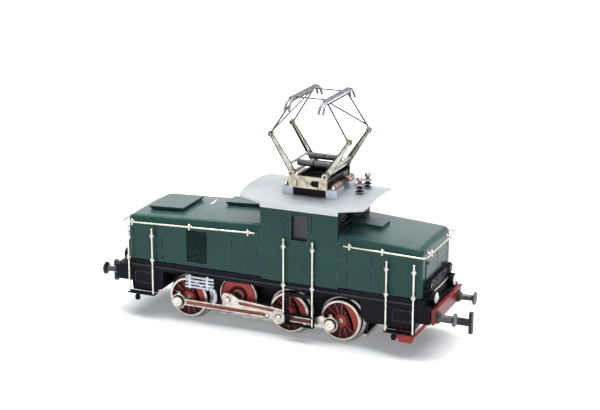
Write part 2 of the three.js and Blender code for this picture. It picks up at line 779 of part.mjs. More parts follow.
// A coupler swings about its stud under the frame's end; its own frame is at the stud
function coupler(end) {
  const reach = couplerFaceX - couplerPivotX;
  const along = (from, to) => (end < 0 ? [-to, -from] : [from, to]);
  const headBack = reach - couplerHeadThickness;
  const half = couplerBarHeight / 2;
  const head = new THREE.Shape();
  const round = couplerHeadWidth / 2;
  const straight = couplerHeadHeight / 2 - round;
  head.absarc(0, straight, round, 0, Math.PI);
  head.absarc(0, -straight, round, Math.PI, 2 * Math.PI);
  const bossTop = beamBottom - couplerZ - gap;
  return join(
    drum('z', 1.7, -half, bossTop, [0, 0, 0], 16),
    drum('z', couplerStudRadius, bossTop - 0.1, bossTop + gap + 2.8, [0, 0, 0], 16),
    block(...along(0, headBack + 0.2), -couplerBarWidth / 2, couplerBarWidth / 2, -half, half),
    crossPlate(head, ...along(headBack, reach), 4));
}

// Headlamps on the lamp boards: a housing with a bore, and a domed lens in the bore
function lampBack(end) {
  return (end < 0 ? -rearBoardX : frontBoardX) + lampBoardThickness;
}

function lampHousing(end, side) {
  const back = lampBack(end);
  const front = back + lampDepth;
  const profile = [
    [0, back - 0.3], [lampRadius - 0.1, back - 0.3], [lampRadius, front - 0.2],
    [lampRadius - 0.2, front], [lensRadius, front], [lensRadius, front - 0.9], [0, front - 0.9],
  ].map(([r, x]) => [r, end * x]);
  return turned('x', profile, [0, side * lampY, lampZ], 10);
}

function bracketLamp(end, side) {
  const back = lampBack(end);
  const [x0, x1] = end < 0 ? [-back - 0.3, -back + 0.7] : [back - 0.7, back + 0.3];
  const z = frameTop + lampBoardHeight - 0.9;
  return drum('x', bracketLampRadius, x0, x1, [0, side * (lampY - 0.4), z], 8);
}

function headlampLens(end, side) {
  const seat = lampBack(end) + lampDepth - 0.8;
  const radius = lensRadius - 0.08;
  const profile = [
    [0, seat], [radius, seat], [radius, seat + 0.8], [radius * 0.7, seat + 1.3], [0, seat + 1.55],
  ].map(([r, x]) => [r, end * x]);
  return turned('x', profile, [0, side * lampY, lampZ], 12);
}

// Hood rails: one bent wire round each hood, on ball stanchions
const railEndReach = 1.5;
const rearRail = { start: -3.7, cabZ: 32.3, endZ: 30.5, posts: [-44.9, -25.4, -6.0] };
const frontRail = { start: 24.4, cabZ: 32.1, endZ: 31.5, posts: [26.2, 36.3] };
const endPostY = 8.8;

function hoodRail(end, rail) {
  const endX = (end < 0 ? rearHoodEnd : frontHoodEnd) + end * (railEndReach - 0.1);
  const heightAt = (x) => THREE.MathUtils.mapLinear(x, rail.start, endX, rail.cabZ, rail.endZ);
  const standoff = railY - hoodHalfWidth;
  const path = [
    [rail.start, -railY, rail.cabZ], [endX, -railY, rail.endZ],
    [endX, railY, rail.endZ], [rail.start, railY, rail.cabZ],
  ];
  const parts = [sweep(rounded(path, railCornerRadius), railRadius)];
  for (const side of sides) {
    for (const x of rail.posts) {
      parts.push(stanchion([x, side * railY, heightAt(x)], [0, -side], standoff - gap, railRadius));
    }
    const reach = railEndReach - 0.1 - gap;
    parts.push(stanchion([endX, side * endPostY, rail.endZ], [-end, 0], reach, railRadius));
  }
  return join(parts);
}

// The knob on a wire, and the shank that seats it in the body
function stanchion(at, way, reach, wireRadius) {
  return join(shank(at, way, reach, wireRadius), knob(at, knobRadius, 2 * knobHeight));
}

function shank([x, y, z], [toX, toY], reach, wireRadius) {
  const half = wireRadius * 0.7;
  const [tipX, tipY] = [x + toX * reach, y + toY * reach];
  const reachX = toX ? 0 : half;
  const reachY = toY ? 0 : half;
  return block(Math.min(x, tipX) - reachX, Math.max(x, tipX) + reachX,
    Math.min(y, tipY) - reachY, Math.max(y, tipY) + reachY, z - half, z + half);
}

// Steps: a plate between two upright handrails, which are held to the body by stanchions
function stepUnit(side, index) {
  const atCab = index === 1;
  const z = atCab ? cabStepZ : endStepZ;
  const [left, right] = handrailX.slice(2 * index, 2 * index + 2);
  const back = atCab ? rodBackY + rodThickness + nutThickness + 0.6 : frameHalfWidth - 0.9 + gap;
  const [y0, y1] = mirrored(back, stepFrontY, side);
  const parts = [block(left - 0.5, right + 0.5, y0, y1, z - stepThickness / 2, z + stepThickness / 2)];
  parts.push(handrail(left, side, atCab, z), handrail(right, side, atCab, z));
  if (atCab) {
    const apron = mirrored(back, back + 0.5, side);
    parts.push(stepStrap(left + 0.1, 1.6, side, back, z), stepStrap(right - 0.9, 1.3, side, back, z));
    parts.push(block(left + 0.1, right + 0.2, ...apron, cabApronBottom, skirtBottom - gap));
    parts.push(block(left + 0.1, right + 0.2, y0, y1, upperTreadZ, upperTreadZ + stepThickness));
  } else {
    const x = left + (right - left) * 0.28;
    parts.push(drum('z', stepKnobRadius, stepKnobBottom, z, [x, side * (back + 1.2), 0], 12));
  }
  return join(parts);
}

// A strap of the cab step: wide beside the rods, narrow above them, turned in under the skirt
function stepStrap(x, width, side, back, z) {
  const narrow = width * 0.55;
  const [y0, y1] = mirrored(back, back + 0.5, side);
  const [tab0, tab1] = mirrored(frameHalfWidth - skirtThickness - 0.6, back + 0.5, side);
  return join(
    block(x, x + width, y0, y1, z, strapNeckZ),
    block(x, x + narrow, y0, y1, z, skirtBottom - gap),
    block(x, x + narrow, tab0, tab1, skirtBottom - gap - 0.4, skirtBottom - gap));
}

function handrail(x, side, atCab, stepZ) {
  const y = side * railY;
  const top = frameTop + (atCab ? cabRailRise : endRailRise);
  const upperZ = top - (atCab ? 2.55 : 2.6);
  const lowerZ = frameTop + (atCab ? -0.9 : 0.9);
  const bodyY = atCab ? cabHalfWidth : hoodHalfWidth;
  const upperReach = railY - bodyY - gap;
  const lowerReach = railY - (atCab ? frameHalfWidth : hoodHalfWidth) - gap;
  return join(
    drum('z', handrailRadius, stepZ, top, [x, y, 0], 6),
    shank([x, y, top - handrailRadius], [0, -side], upperReach, handrailRadius),
    shank([x, y, upperZ], [0, -side], upperReach, handrailRadius),
    shank([x, y, lowerZ], [0, -side], lowerReach, handrailRadius));
}

// Four-bar grid on the skirt above the first wheel, with its conduit, on both sides
const gridLeft = -27.3;
const gridRight = -17.8;
const gridBottom = 12.0;
const gridTop = 15.6;
const gridBar = 0.5;

function frameGrid(side) {
  const parts = [];
  const face = frameHalfWidth + gap;
  const [y0, y1] = mirrored(face, face + gridBar, side);
  const barCount = 4;
  for (let i = 0; i < barCount; i += 1) {
    const z = gridBottom + (gridTop - gridBottom - gridBar) * i / (barCount - 1);
    parts.push(block(gridLeft, gridRight, y0, y1, z, z + gridBar));
  }
  for (const x of [gridLeft + 1.0, gridRight - 2.6]) {
    parts.push(block(x, x + 0.8, y0, y1, gridBottom - 0.2, gridTop + 0.4));
  }
  const outer = side * (face + gridBar / 2);
  parts.push(sweep([
    [gridRight - 1.2, outer, gridBottom + 0.3], [gridRight - 0.1, outer, gridBottom - 0.1],
    [gridRight + 0.4, outer, gridBottom - 1.3], [gridRight + 0.4, outer, gridBottom - 2.9],
    [gridRight - 0.2, outer, gridBottom - 4.4],
  ], 0.6));
  return join(parts);
}

// Red rail guards in front of the wheels: a blade on each side, hung from a strip under the end block
const guardX = 40;
const guardY = frameHalfWidth - 2;
const guardBottom = 4.1;
const guardStripX = 48.2;

function frontGuard() {
  const hanger = beamBottom - gap;
  const blades = sides.map((side) => sidePlate(outline([
    [guardX + 1.1, guardBottom], [guardX + 4.7, guardBottom], [guardX + 5.4, guardBottom + 1.4],
    [guardStripX + 1.2, hanger - 0.4], [guardStripX + 1.2, hanger], [guardStripX + 0.3, hanger],
    [guardX + 5.0, guardBottom + 2.2], [guardX + 4.8, guardBottom + 3.9], [guardX + 3.6, boxBottom - gap],
    [guardX + 1.4, boxBottom - gap], [guardX, guardBottom + 3.7], [guardX + 0.2, guardBottom + 1.4],
  ]), ...mirrored(guardY, guardY + 0.6, side)));
  const foot = sides.map((side) => block(guardX + 1.1, guardX + 4.7,
    ...mirrored(guardY - 1.2, guardY + 0.6, side), guardBottom, guardBottom + 0.5));
  const strip = block(guardStripX, guardStripX + 1.2, -guardY - 0.6, guardY + 0.6, hanger - 0.4, hanger);
  return join(blades, foot, strip);
}

// Wheel with its tyre, raised spokes, counterweight and crank pin; the face looks along `side`
function wheel(side, turn, nut) {
  const bossFace = wheelFaceY + hubProud;
  const profile = [
    [0, wheelBackY], [flangeRadius, wheelBackY],
    [flangeRadius - 0.1, wheelBackY + flangeThickness], [treadRadius, wheelBackY + flangeThickness + 0.3],
    [treadRadius, wheelFaceY], [rimInnerRadius, wheelFaceY - 0.15], [rimInnerRadius, webFaceY], [0, webFaceY],
  ].map(([r, y]) => [r, side * y]);
  let made = turned('y', profile, [0, 0, 0], wheelSides);
  made = made.add(drum('y', hubRadius, ...mirrored(webFaceY - 0.2, bossFace, side), [0, 0, 0], 12));
  const [spokeBack, spokeFront] = mirrored(webFaceY - 0.2, webFaceY + 0.45, side);
  const inner = hubRadius - 0.2;
  const reach = rimInnerRadius + 0.2;
  for (let i = 0; i < spokeCount; i += 1) {
    const spoke = new THREE.BoxGeometry(reach - inner, spokeFront - spokeBack, spokeWidth);
    spoke.translate((reach + inner) / 2, (spokeFront + spokeBack) / 2, 0);
    spoke.rotateY(2 * Math.PI * (i + 0.5) / spokeCount);
    made = made.add(solid(spoke));
  }
  const weight = new THREE.Shape();
  const away = turn + Math.PI;
  const weightRadius = rimInnerRadius + 0.15;
  weight.absarc(0, 0, weightRadius, away - weightSpread, away + weightSpread);
  weight.quadraticCurveTo(weightBulge * Math.cos(away), weightBulge * Math.sin(away),
    weightRadius * Math.cos(away - weightSpread), weightRadius * Math.sin(away - weightSpread));
  made = join(made,
    sidePlate(weight, ...mirrored(webFaceY - 0.2, wheelFaceY - 0.3, side), 7),
    crankPin(side, turn, nut, webFaceY - 0.2));
  return cut(made, drum('y', axleRadius + runningGap, ...mirrored(wheelBackY - 1, bossFace + 1, side),
    [0, 0, 0], pinSides));
}

// Crank pin: boss, shank through the rod, and a round nut outside the rod where `nut` is its radius
function crankPin(side, turn, nut, from) {
  const at = [crankRadius * Math.cos(turn), 0, crankRadius * Math.sin(turn)];
  const rodFace = rodBackY + rodThickness;
  const pin = join(
    drum('y', bossRadius, ...mirrored(from, wheelFaceY + hubProud, side), at, pinSides),
    drum('y', pinRadius, ...mirrored(from, rodFace + gap, side), at, pinSides));
  if (!nut) return pin;
  const nutFaces = mirrored(rodFace + gap - 0.05, rodFace + gap + nutThickness, side);
  return pin.add(drum('y', nut, ...nutFaces, at, 14));
}

const turnOf = { '-1': crankAngle, 1: crankAngle + quarterTurn };
const pinNut = [nutRadius * 0.95, 0, nutRadius];

// A wheelset turns about its own origin, placed at the axle; the driven axle carries the drive gear
function wheelset(index) {
  const group = new THREE.Group();
  group.position.set(axleX[index], 0, axleZ);
  const number = index + 1;
  const axleHalf = wheelFaceY + hubProud - 0.25;
  const axle = drum('y', axleRadius, -axleHalf, axleHalf, [0, 0, 0], pinSides);
  const driven = index === 1;
  piece(driven ? 'drive_axle' : `axle_${number}`, driven
    ? axle.add(gear(axleTeeth, -gearInnerY - gearThickness, -gearInnerY, axlePhase)) : axle, steel, group);
  piece(`wheel_${number}_near`, wheel(-1, turnOf[-1], pinNut[index]), wheelRed, group);
  piece(`wheel_${number}_far`, wheel(1, turnOf[1], pinNut[index]), wheelRed, group);
  locomotive.add(group);
}

// Jackshaft with a disc crank at each end
function jackshaft() {
  const group = new THREE.Group();
  group.position.set(jackX, 0, jackZ);
  const axleHalf = wheelFaceY + hubProud;
  const discs = sides.map((side) => [
    drum('y', discRadius, ...mirrored(wheelFaceY - discThickness, wheelFaceY - 0.2, side),
      [0, 0, 0], wheelSides),
    drum('y', hubRadius, ...mirrored(wheelFaceY - 0.3, wheelFaceY + 0.1, side), [0, 0, 0], pinSides),
    crankPin(side, turnOf[side], 0, wheelFaceY - 0.3),
  ]);
  const shaft = drum('y', axleRadius, -axleHalf, axleHalf, [0, 0, 0], pinSides);
  piece('jackshaft', join(shaft, discs), red, group);
  locomotive.add(group);
}

// Coupling rod: fluted bar over all pins, with the tall bearing plate over the jackshaft pin
function couplingRod(side) {
  const turn = turnOf[side];
  const offset = [crankRadius * Math.cos(turn), crankRadius * Math.sin(turn)];
  const low = axleZ + offset[1];
  const high = jackZ + offset[1];
  const first = axleX[0] + offset[0];
  const second = axleX[1] + offset[0];
  const third = axleX[2] + offset[0];
  const jack = jackX + offset[0];
  const half = rodHeight / 2;
  const faces = mirrored(rodBackY, rodBackY + rodThickness, side);
  const flute = mirrored(rodBackY + rodThickness - 0.25, rodBackY + rodThickness + 1, side);
  const bar = sidePlate(outline([
    [first, low - half], [third, low - half], [third, low + half], [first, low + half],
  ]), ...faces);
  const plate = sidePlate(outline([
    [jack - 1.9, low - half], [second + 1.6, low - half - 0.2], [second + 1.6, low + 2.4],
    [jack + 3.6, high + 0.5], [jack + 1.2, high + 1.9], [jack - 1.2, high + 1.9],
    [jack - 1.9, high + 1.2],
  ]), ...faces);
  const eyes = [first, second, third].map((x) => drum('y', rodEyeRadius, ...faces, [x, 0, low], 14));
  const fork = sidePlate(outline([
    [third - 5.0, low - 1.2], [third - 1.2, low - 1.5], [third - 1.2, low + 1.4], [third - 2.2, low + 2.3],
    [third - 2.9, low + 2.4], [third - 5.0, low + 1.2],
  ]), ...faces);
  const cupY = mirrored(rodBackY + 0.2, rodBackY + rodThickness - 0.2, side);
  const cups = [first, third].map((x) => block(x - 0.5, x + 0.5, ...cupY,
    low + rodEyeRadius - 0.4, low + rodEyeRadius + 0.7));
  const pinHole = (x, z) => drum('y', pinRadius + gap,
    ...mirrored(rodBackY - 1, rodBackY + 3, side), [x, 0, z], pinSides);
  const channel = (x0, z0, x1, z1, height) => sidePlate(outline([
    [x0, z0 - height / 2], [x1, z1 - height / 2], [x1, z1 + height / 2], [x0, z0 + height / 2],
  ]), ...flute);
  return cut(join(bar, plate, eyes, fork, cups),
    pinHole(first, low), pinHole(second, low), pinHole(third, low), pinHole(jack, high),
    channel(first + rodEyeRadius + 0.35, low, second - 4.6, low, fluteHeight),
    channel(jack + 3.6, high - 0.6, second + 0.6, low + 1.55, fluteHeight * 0.85),
    channel(second + rodEyeRadius + 0.6, low, third - 5.4, low, fluteHeight));
}

// Spur gear with simple straight-flanked teeth, standing clear of its mate's
function gear(teeth, y0, y1, phase) {
  const pitch = gearModule * teeth / 2;
  const tip = pitch + gearModule * 0.8;
  const root = pitch - gearModule * 1.1;
  const step = 2 * Math.PI / teeth;
  const points = [];
  for (let i = 0; i < teeth; i += 1) {
    const middle = phase + i * step;
    const rootHalf = step * 0.29;
    const tipHalf = step * 0.1;
    for (const [radius, angle] of [
      [root, middle - rootHalf], [tip, middle - tipHalf], [tip, middle + tipHalf], [root, middle + rootHalf],
    ]) {
      points.push([radius * Math.cos(angle), radius * Math.sin(angle)]);
    }
  }
  return sidePlate(outline(points), y0, y1);
}

// The tooth phases that mesh straight above one another at rest
const upward = Math.PI / 2;
const axlePhase = upward;
const idlerPhase = -upward + Math.PI / idlerTeeth;
const idlerTopOffset = ((upward - idlerPhase) / (2 * Math.PI / idlerTeeth)) % 1;
const pinionPhase = -upward + (2 * Math.PI / pinionTeeth) * (0.5 + idlerTopOffset);

// Armature: three-pole core, commutator, pinion and shaft
function armatureCore() {
  const core = new THREE.Shape();
  const spread = THREE.MathUtils.degToRad(48);
  const neck = THREE.MathUtils.degToRad(20);
  for (let i = 0; i < 3; i += 1) {
    const middle = upward + i * 2 * Math.PI / 3;
    const at = (radius, angle) => [radius * Math.cos(angle), radius * Math.sin(angle)];
    if (i === 0) core.moveTo(...at(armatureRadius * 0.45, middle - 3 * neck));
    core.lineTo(...at(armatureRadius * 0.45, middle - neck * 1.6));
    core.lineTo(...at(armatureRadius * 0.76, middle - neck));
    core.lineTo(...at(armatureRadius * 0.76, middle - spread));
    core.absarc(0, 0, armatureRadius, middle - spread, middle + spread);
    core.lineTo(...at(armatureRadius * 0.76, middle + spread));
    core.lineTo(...at(armatureRadius * 0.76, middle + neck));
    core.lineTo(...at(armatureRadius * 0.45, middle + neck * 1.6));
  }
  return sidePlate(core, -armatureHalfLength, armatureHalfLength, 2);
}

function armature(group) {
  const shaftEnd = innerPlateY + innerPlateThickness;
  piece('armature', join(
    armatureCore(),
    drum('y', shaftRadius, -shaftEnd, shaftEnd, [0, 0, 0], 8),
    drum('y', 2.4, armatureHalfLength - 0.1, innerPlateY - 0.5, [0, 0, 0], pinSides),
    gear(pinionTeeth, -gearInnerY - gearThickness, -gearInnerY, pinionPhase)), copper, group);
}

function fieldMagnet() {
  const half = armatureHalfLength - 0.1;
  const bore = armatureRadius + poleGap;
  const outer = block(motorX - fieldHalfWidth, motorX + fieldHalfWidth, -half, half,
    motorZ - fieldHeight / 2, motorZ + fieldHeight / 2);
  const coil = block(motorX - 6.5, motorX + 6.5, -half, half,
    motorZ + fieldHeight / 2 - 0.2, motorZ + fieldHeight / 2 + 2.2);
  return cut(outer.add(coil), drum('y', bore, -half - 1, half + 1, [motorX, 0, motorZ]));
}

// Brush plate: insulating plate that closes the motor on the far side, with two brush tubes
function brushPlate() {
  const y0 = innerPlateY;
  const y1 = innerPlateY + 1.2;
  const plate = block(motorX - 8, motorX + 8, y0, y1, frameTop + gap, motorZ + 6);
  const tubes = ends.map((end) => {
    const inner = motorX + end * 2.9;
    const outer = motorX + end * 6.4;
    return drum('x', 0.9, Math.min(inner, outer), Math.max(inner, outer), [0, y0 - 0.4, motorZ], 12);
  });
  const bore = drum('y', shaftRadius + runningGap, y0 - 1, y1 + 1, [motorX, 0, motorZ], 12);
  return cut(join(plate, tubes), bore);
}

// Pantograph. Its group's origin is on the roof's middle line at the height of the base pivots.
const fold = armRestAngle;
const kneeX = basePivotHalf + armLength * Math.cos(fold);
const kneeRise = armLength * Math.sin(fold);
const topZ = basePivotZ + 2 * kneeRise;

// Lower arm frame: two tapered channels on a cross shaft; its origin is the base pivot
function lowerArm(end) {
  const parts = [];
  const direction = end < 0 ? Math.PI - fold : fold;
  const along = (distance, across) => [
    distance * Math.cos(direction) - across * Math.sin(direction),
    distance * Math.sin(direction) + across * Math.cos(direction),
  ];
  for (const side of sides) {
    const plate = (y) => sidePlate(outline([
      along(-0.6, -armFootWidth / 2), along(armLength, -armTopWidth / 2),
      along(armLength, armTopWidth / 2), along(-0.6, armFootWidth / 2),
    ]), ...mirrored(y, y + armPlate, side));
    parts.push(plate(armY - armPlate / 2));
    const [eyeX, eyeZ] = along(armLength, 0);
    const eye = drum('y', 0.95, ...mirrored(armY - armPlate / 2, armY + armPlate / 2, side),
      [eyeX, 0, eyeZ], pinSides);
    parts.push(cut(eye, drum('y', pantographPinRadius + runningGap,
      ...mirrored(armY - 2, armY + 2, side), [eyeX, 0, eyeZ], 8)));
  }
  const [eyeX, eyeZ] = along(armLength, 0);
  const [barX, barZ] = along(springLift, 0);
  parts.push(
    drum('y', 0.55, -armY, armY, [0, 0, 0], 8),
    drum('y', 0.4, -armY, armY, [barX, 0, barZ], 6));
  const shank = drum('y', pantographPinRadius, -baseSideY - 0.6, baseSideY + 0.6, [0, 0, 0], 8);
  const kneeHoles = sides.map((side) => drum('y', pantographPinRadius + runningGap,
    ...mirrored(armY - 2, armY + 2, side), [eyeX, 0, eyeZ], 8));
  return cut(join(parts, shank), kneeHoles);
}

// Upper frame: two wires and a brace, with the knee pins; its origin is the knee
function upperArm(end) {
  const armFace = armY + armPlate / 2;
  const wireY = armFace + 0.45;
  const draw = 0.9;
  const at = (share, y) => [-end * (kneeX - basePivotHalf) * share, y, kneeRise * share];
  const kneePins = sides.map((side) => drum('y', pantographPinRadius,
    ...mirrored(armY - armPlate / 2 - 0.7, armFace + 0.9, side), [0, 0, 0], 8));
  const wires = sides.map((side) => (
    strut(at(0, side * wireY), at(topShare, side * (wireY - draw)), upperWireRadius)));
  const brace = strut(at(braceShare, end * (wireY - draw * braceShare)), at(topShare, -end * (wireY - 2.6)),
    upperWireRadius * 0.9, 4);
  const barHalf = wireY - draw + 0.4;
  const crossBar = drum('y', upperWireRadius * 1.3, -barHalf, barHalf, at(topShare, 0), 6);
  return join(kneePins, wires, brace, crossBar);
}

// The upper wires stop just below the collector strips; the brace leaves its wire above the knee
const topShare = 0.955;
const braceShare = 0.13;

// Collector head: two strips with forked, bent-down horns, tied by two wires
function collectorHead() {
  const parts = [];
  const bottom = 0.25;
  const hornZ = bottom + stripHeight - 0.4;
  for (const end of ends) {
    const x = end * basePivotHalf;
    parts.push(block(x - stripWidth / 2, x + stripWidth / 2, -stripHalf, stripHalf,
      bottom, bottom + stripHeight));
    for (const side of sides) {
      for (const fork of [-1, 1]) {
        const forkX = x + fork * (stripWidth / 2 - 0.25);
        parts.push(sweep([
          [forkX, side * (stripHalf - 0.6), hornZ],
          [forkX, side * (stripHalf + 0.6), hornZ - 0.1],
          [forkX + fork * 0.2, side * (stripHalf + hornReach * 0.6), hornZ - hornDrop * 0.4],
          [forkX + fork * 0.5, side * (stripHalf + hornReach), hornZ - hornDrop],
        ], 0.33));
      }
    }
  }
  for (const side of sides) {
    const tie = (x) => [x, side * 6.4, bottom + 0.3];
    parts.push(strut(tie(-basePivotHalf), tie(basePivotHalf), 0.2));
  }
  return join(parts);
}

function pantographBase() {
  const rim = 0.5;
  const parts = [];
  for (const side of sides) {
    const faces = mirrored(baseSideY, baseSideY + rim, side);
    parts.push(sidePlate(outline([
      [-baseSideHalf + 0.6, baseBottom], [baseSideHalf, baseBottom], [baseSideHalf, baseTop],
      [-baseSideHalf, baseTop], [-baseSideHalf, baseBottom + 0.8],
    ]), ...faces));
    for (const end of ends) {
      parts.push(drum('y', 1.0, ...faces, [end * basePivotHalf, 0, basePivotZ], 12));
    }
  }
  parts.push(block(-baseSideHalf + 0.1, baseSideHalf - 0.1, -baseSideY - 0.1, baseSideY + 0.1,
    baseBottom + 0.05, baseBottom + rim));
  for (const end of ends) {
    const inner = end * (baseSideHalf - 0.6);
    parts.push(block(inner - 0.3, inner + 0.3, -baseSideY - 0.2, baseSideY + 0.2,
      baseBottom + 0.1, baseBottom + 2.2));
  }
  const lightening = [-3.2, 3.2].map((y) => block(-baseSideHalf + 1.6, baseSideHalf - 1.6,
    y - 2.4, y + 2.4, baseBottom - 1, baseBottom + 1));
  const pinHoles = sides.map((side) => ends.map((end) => drum('y', pantographPinRadius + runningGap,
    ...mirrored(baseSideY - 1, baseSideY + 2, side), [end * basePivotHalf, 0, basePivotZ], 8)));
  return cut(join(parts), lightening, pinHoles.flat());
}

// Four feet cast on the roof under the pantograph
function roofFeet() {
  return ends.map((end) => sides.map((side) => {
    const x = pantographX + end * footX;
    const [y0, y1] = mirrored(footInnerY, footOuterY, side);
    const bottom = roofTop(footOuterY) - roofThickness / 2;
    return block(x - footLength / 2, x + footLength / 2, y0, y1, bottom, footTop);
  }));
}

// A cross rod with an insulating sleeve at each end, lying in the feet at one end of the base
function mountingRod(end) {
  const x = end * sleeveX;
  const bed = footTop + 0.05;
  const middle = [x, 0, bed + sleeveRadius * 0.6];
  const sleeves = sides.map((side) => drum('y', sleeveRadius,
    ...mirrored(footInnerY + 0.4, footOuterY - 1.0, side), middle, pinSides));
  return cut(join(sleeves, drum('y', 0.4, -footOuterY - 0.3, footOuterY + 0.3, middle, 6)),
    block(x - 2, x + 2, -footOuterY, footOuterY, bed - 2, bed));
}

// Ribbed roof insulators with a metal cap
const insulatorX = 24.2;
const insulatorRadius = 1.45;
const insulatorY = [-1.2, 5.2];

function roofInsulator(y) {
  const base = roofTop(y) + 0.12;
  const rib = (z) => [[0.6, z], [insulatorRadius, z + 0.4], [0.6, z + 0.85]];
  return turned('z', [
    [0, 0], ...rib(0), ...rib(1.05), ...rib(2.1), [0.6, 4.4], [0.35, 4.9], [0, 4.9],
  ].map(([r, z]) => [r, base + z]), [insulatorX, y, 0], pinSides);
}

// A raising spring: one unbroken wire, straight for a wire's width at each end
function springPoint(t, length) {
  const straight = 2 * springWire;
  const curled = length - 2 * straight;
  const turn = 2 * Math.PI * springCurls * t;
  return [-length / 2 + straight + curled * t, springRadius * Math.cos(turn), springRadius * Math.sin(turn)];
}

function raisingSpring(length, y) {
  const steps = springCurls * stepsPerCurl;
  const spots = [[-length / 2, springRadius, 0]];
  for (let i = 0; i <= steps; i += 1) spots.push(springPoint(i / steps, length));
  spots.push([length / 2, springRadius, 0]);
  return sweep(spots.map(([px, py, pz]) => [px, py + y, pz]), springWire, [1, 0, 0]);
}

// The least gap between neighbouring curls, measured on points of the wire's middle line
function leastSpringGap(length) {
  const samples = 600;
  let least = Infinity;
  for (let i = 0; i <= samples; i += 1) {
    const here = springPoint(i / samples, length);
    for (let j = i + Math.ceil(samples / springCurls / 2); j <= samples; j += 1) {
      const there = springPoint(j / samples, length);
      least = Math.min(least, Math.hypot(here[0] - there[0], here[1] - there[1], here[2] - there[2]));
    }
  }
  return least - 2 * springWire;
}

function pantograph() {
  const group = new THREE.Group();
  group.position.set(pantographX, 0, 0);
  piece('mounting_rod_rear', mountingRod(-1), copper, group);
  piece('mounting_rod_front', mountingRod(1), copper, group);
  piece('pantograph_base', pantographBase(), warmNickel, group);
  for (const [end, word] of [[-1, 'rear'], [1, 'front']]) {
    const lower = new THREE.Group();
    lower.position.set(end * basePivotHalf, 0, basePivotZ);
    piece(`lower_arm_${word}`, lowerArm(end), warmNickel, lower);
    group.add(lower);
    const upper = new THREE.Group();
    upper.position.set(end * kneeX, 0, basePivotZ + kneeRise);
    piece(`upper_arm_${word}`, upperArm(end), steel, upper);
    group.add(upper);
  }
  const head = new THREE.Group();
  head.position.set(0, 0, topZ);
  piece('collector_head', collectorHead(), silver, head);
  group.add(head);
  const barX = basePivotHalf + springLift * Math.cos(fold);
  const springLength = 2 * barX - 2 * (0.4 + gap / 2);
  const springs = new THREE.Group();
  springs.position.set(0, 0, basePivotZ + springLift * Math.sin(fold));
  piece('raising_spring_near', raisingSpring(springLength, -springY), gunmetal, springs);
  piece('raising_spring_far', raisingSpring(springLength, springY), gunmetal, springs);
  group.add(springs);
  console.log(`least gap between spring curls: ${leastSpringGap(springLength).toFixed(2)} mm`);
  locomotive.add(group);
}

function driveTrain() {
  const idler = new THREE.Group();
  idler.position.set(idlerX, 0, idlerZ);
  const studEnd = innerPlateY + innerPlateThickness - 0.1;
  piece('idler_gear', join(
    gear(idlerTeeth, -gearInnerY - gearThickness, -gearInnerY, idlerPhase),
    drum('y', shaftRadius, -studEnd, -gearInnerY + 0.2, [0, 0, 0], 12)), brass, idler);
  const rotor = new THREE.Group();
  rotor.position.set(motorX, 0, motorZ);
  armature(rotor);
  locomotive.add(idler, rotor);
  piece('field_magnet', fieldMagnet(), gunmetal);
  piece('brush_plate', brushPlate(), brown);
}

const sideWord = { '-1': 'near', 1: 'far' };
const endWord = { '-1': 'rear', 1: 'front' };
const stepPlace = ['rear', 'cab', 'front'];

piece('chassis_frame', chassisFrame(), black);
piece('base_plate', basePlate(), steel);
piece('body_shell', bodyShell(), green);
piece('cab_roof', cabRoof(), roofSilver);
piece('cab_glazing', cabGlazing(), glass);
piece('hood_hatch_end', hoodLid(endHatch, hatchThickness, true), green);
piece('hood_hatch_cab', hoodLid(cabHatch, hatchThickness, true), green);
piece('body_screw', bodyScrew(), steel);
piece('buffer_beam_front', bufferBeam(1), red);
piece('buffer_beam_rear', bufferBeam(-1), black);
piece('hood_rail_rear', hoodRail(-1, rearRail), nickel);
piece('hood_rail_front', hoodRail(1, frontRail), nickel);
piece('front_guard', frontGuard(), red);
piece('pickup_shoe', pickupShoe(), steel);
insulatorY.forEach((y, i) => piece(`roof_insulator_${i + 1}`, roofInsulator(y), black));

for (const side of sides) {
  for (const end of ends) {
    piece(`buffer_${endWord[end]}_${sideWord[side]}`, buffer(end, side), gunmetal);
    piece(`headlamp_lens_${endWord[end]}_${sideWord[side]}`, headlampLens(end, side), clear);
  }
  stepPlace.forEach((place, i) => piece(`step_${place}_${sideWord[side]}`, stepUnit(side, i), nickel));
  piece(`frame_grid_${sideWord[side]}`, frameGrid(side), silver);
}

for (const [end, word] of [[1, 'front'], [-1, 'rear']]) {
  const swing = new THREE.Group();
  swing.position.set(end * couplerPivotX, 0, couplerZ);
  piece(`coupler_${word}`, coupler(end), gunmetal, swing);
  locomotive.add(swing);
}

axleX.forEach((x, index) => wheelset(index));
jackshaft();
piece('coupling_rod_near', couplingRod(-1), nickel);
piece('coupling_rod_far', couplingRod(1), nickel);
driveTrain();
pantograph();

export default locomotive;
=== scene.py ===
# %% [markdown]
# A model electric locomotive for 16.5 mm track, dressed over its measured frame.
# The frame brings every moving and bearing part at its true size. This lesson adds what the
# frame keeps plain: round wires, turned collars, spoked wheels, slats, lamps and the finishes.
# All shapes are modelled in millimetres and are turned into metres when they are finished.

# %% Load the frame
import json
import math
import bpy
from mathutils import Matrix, Vector


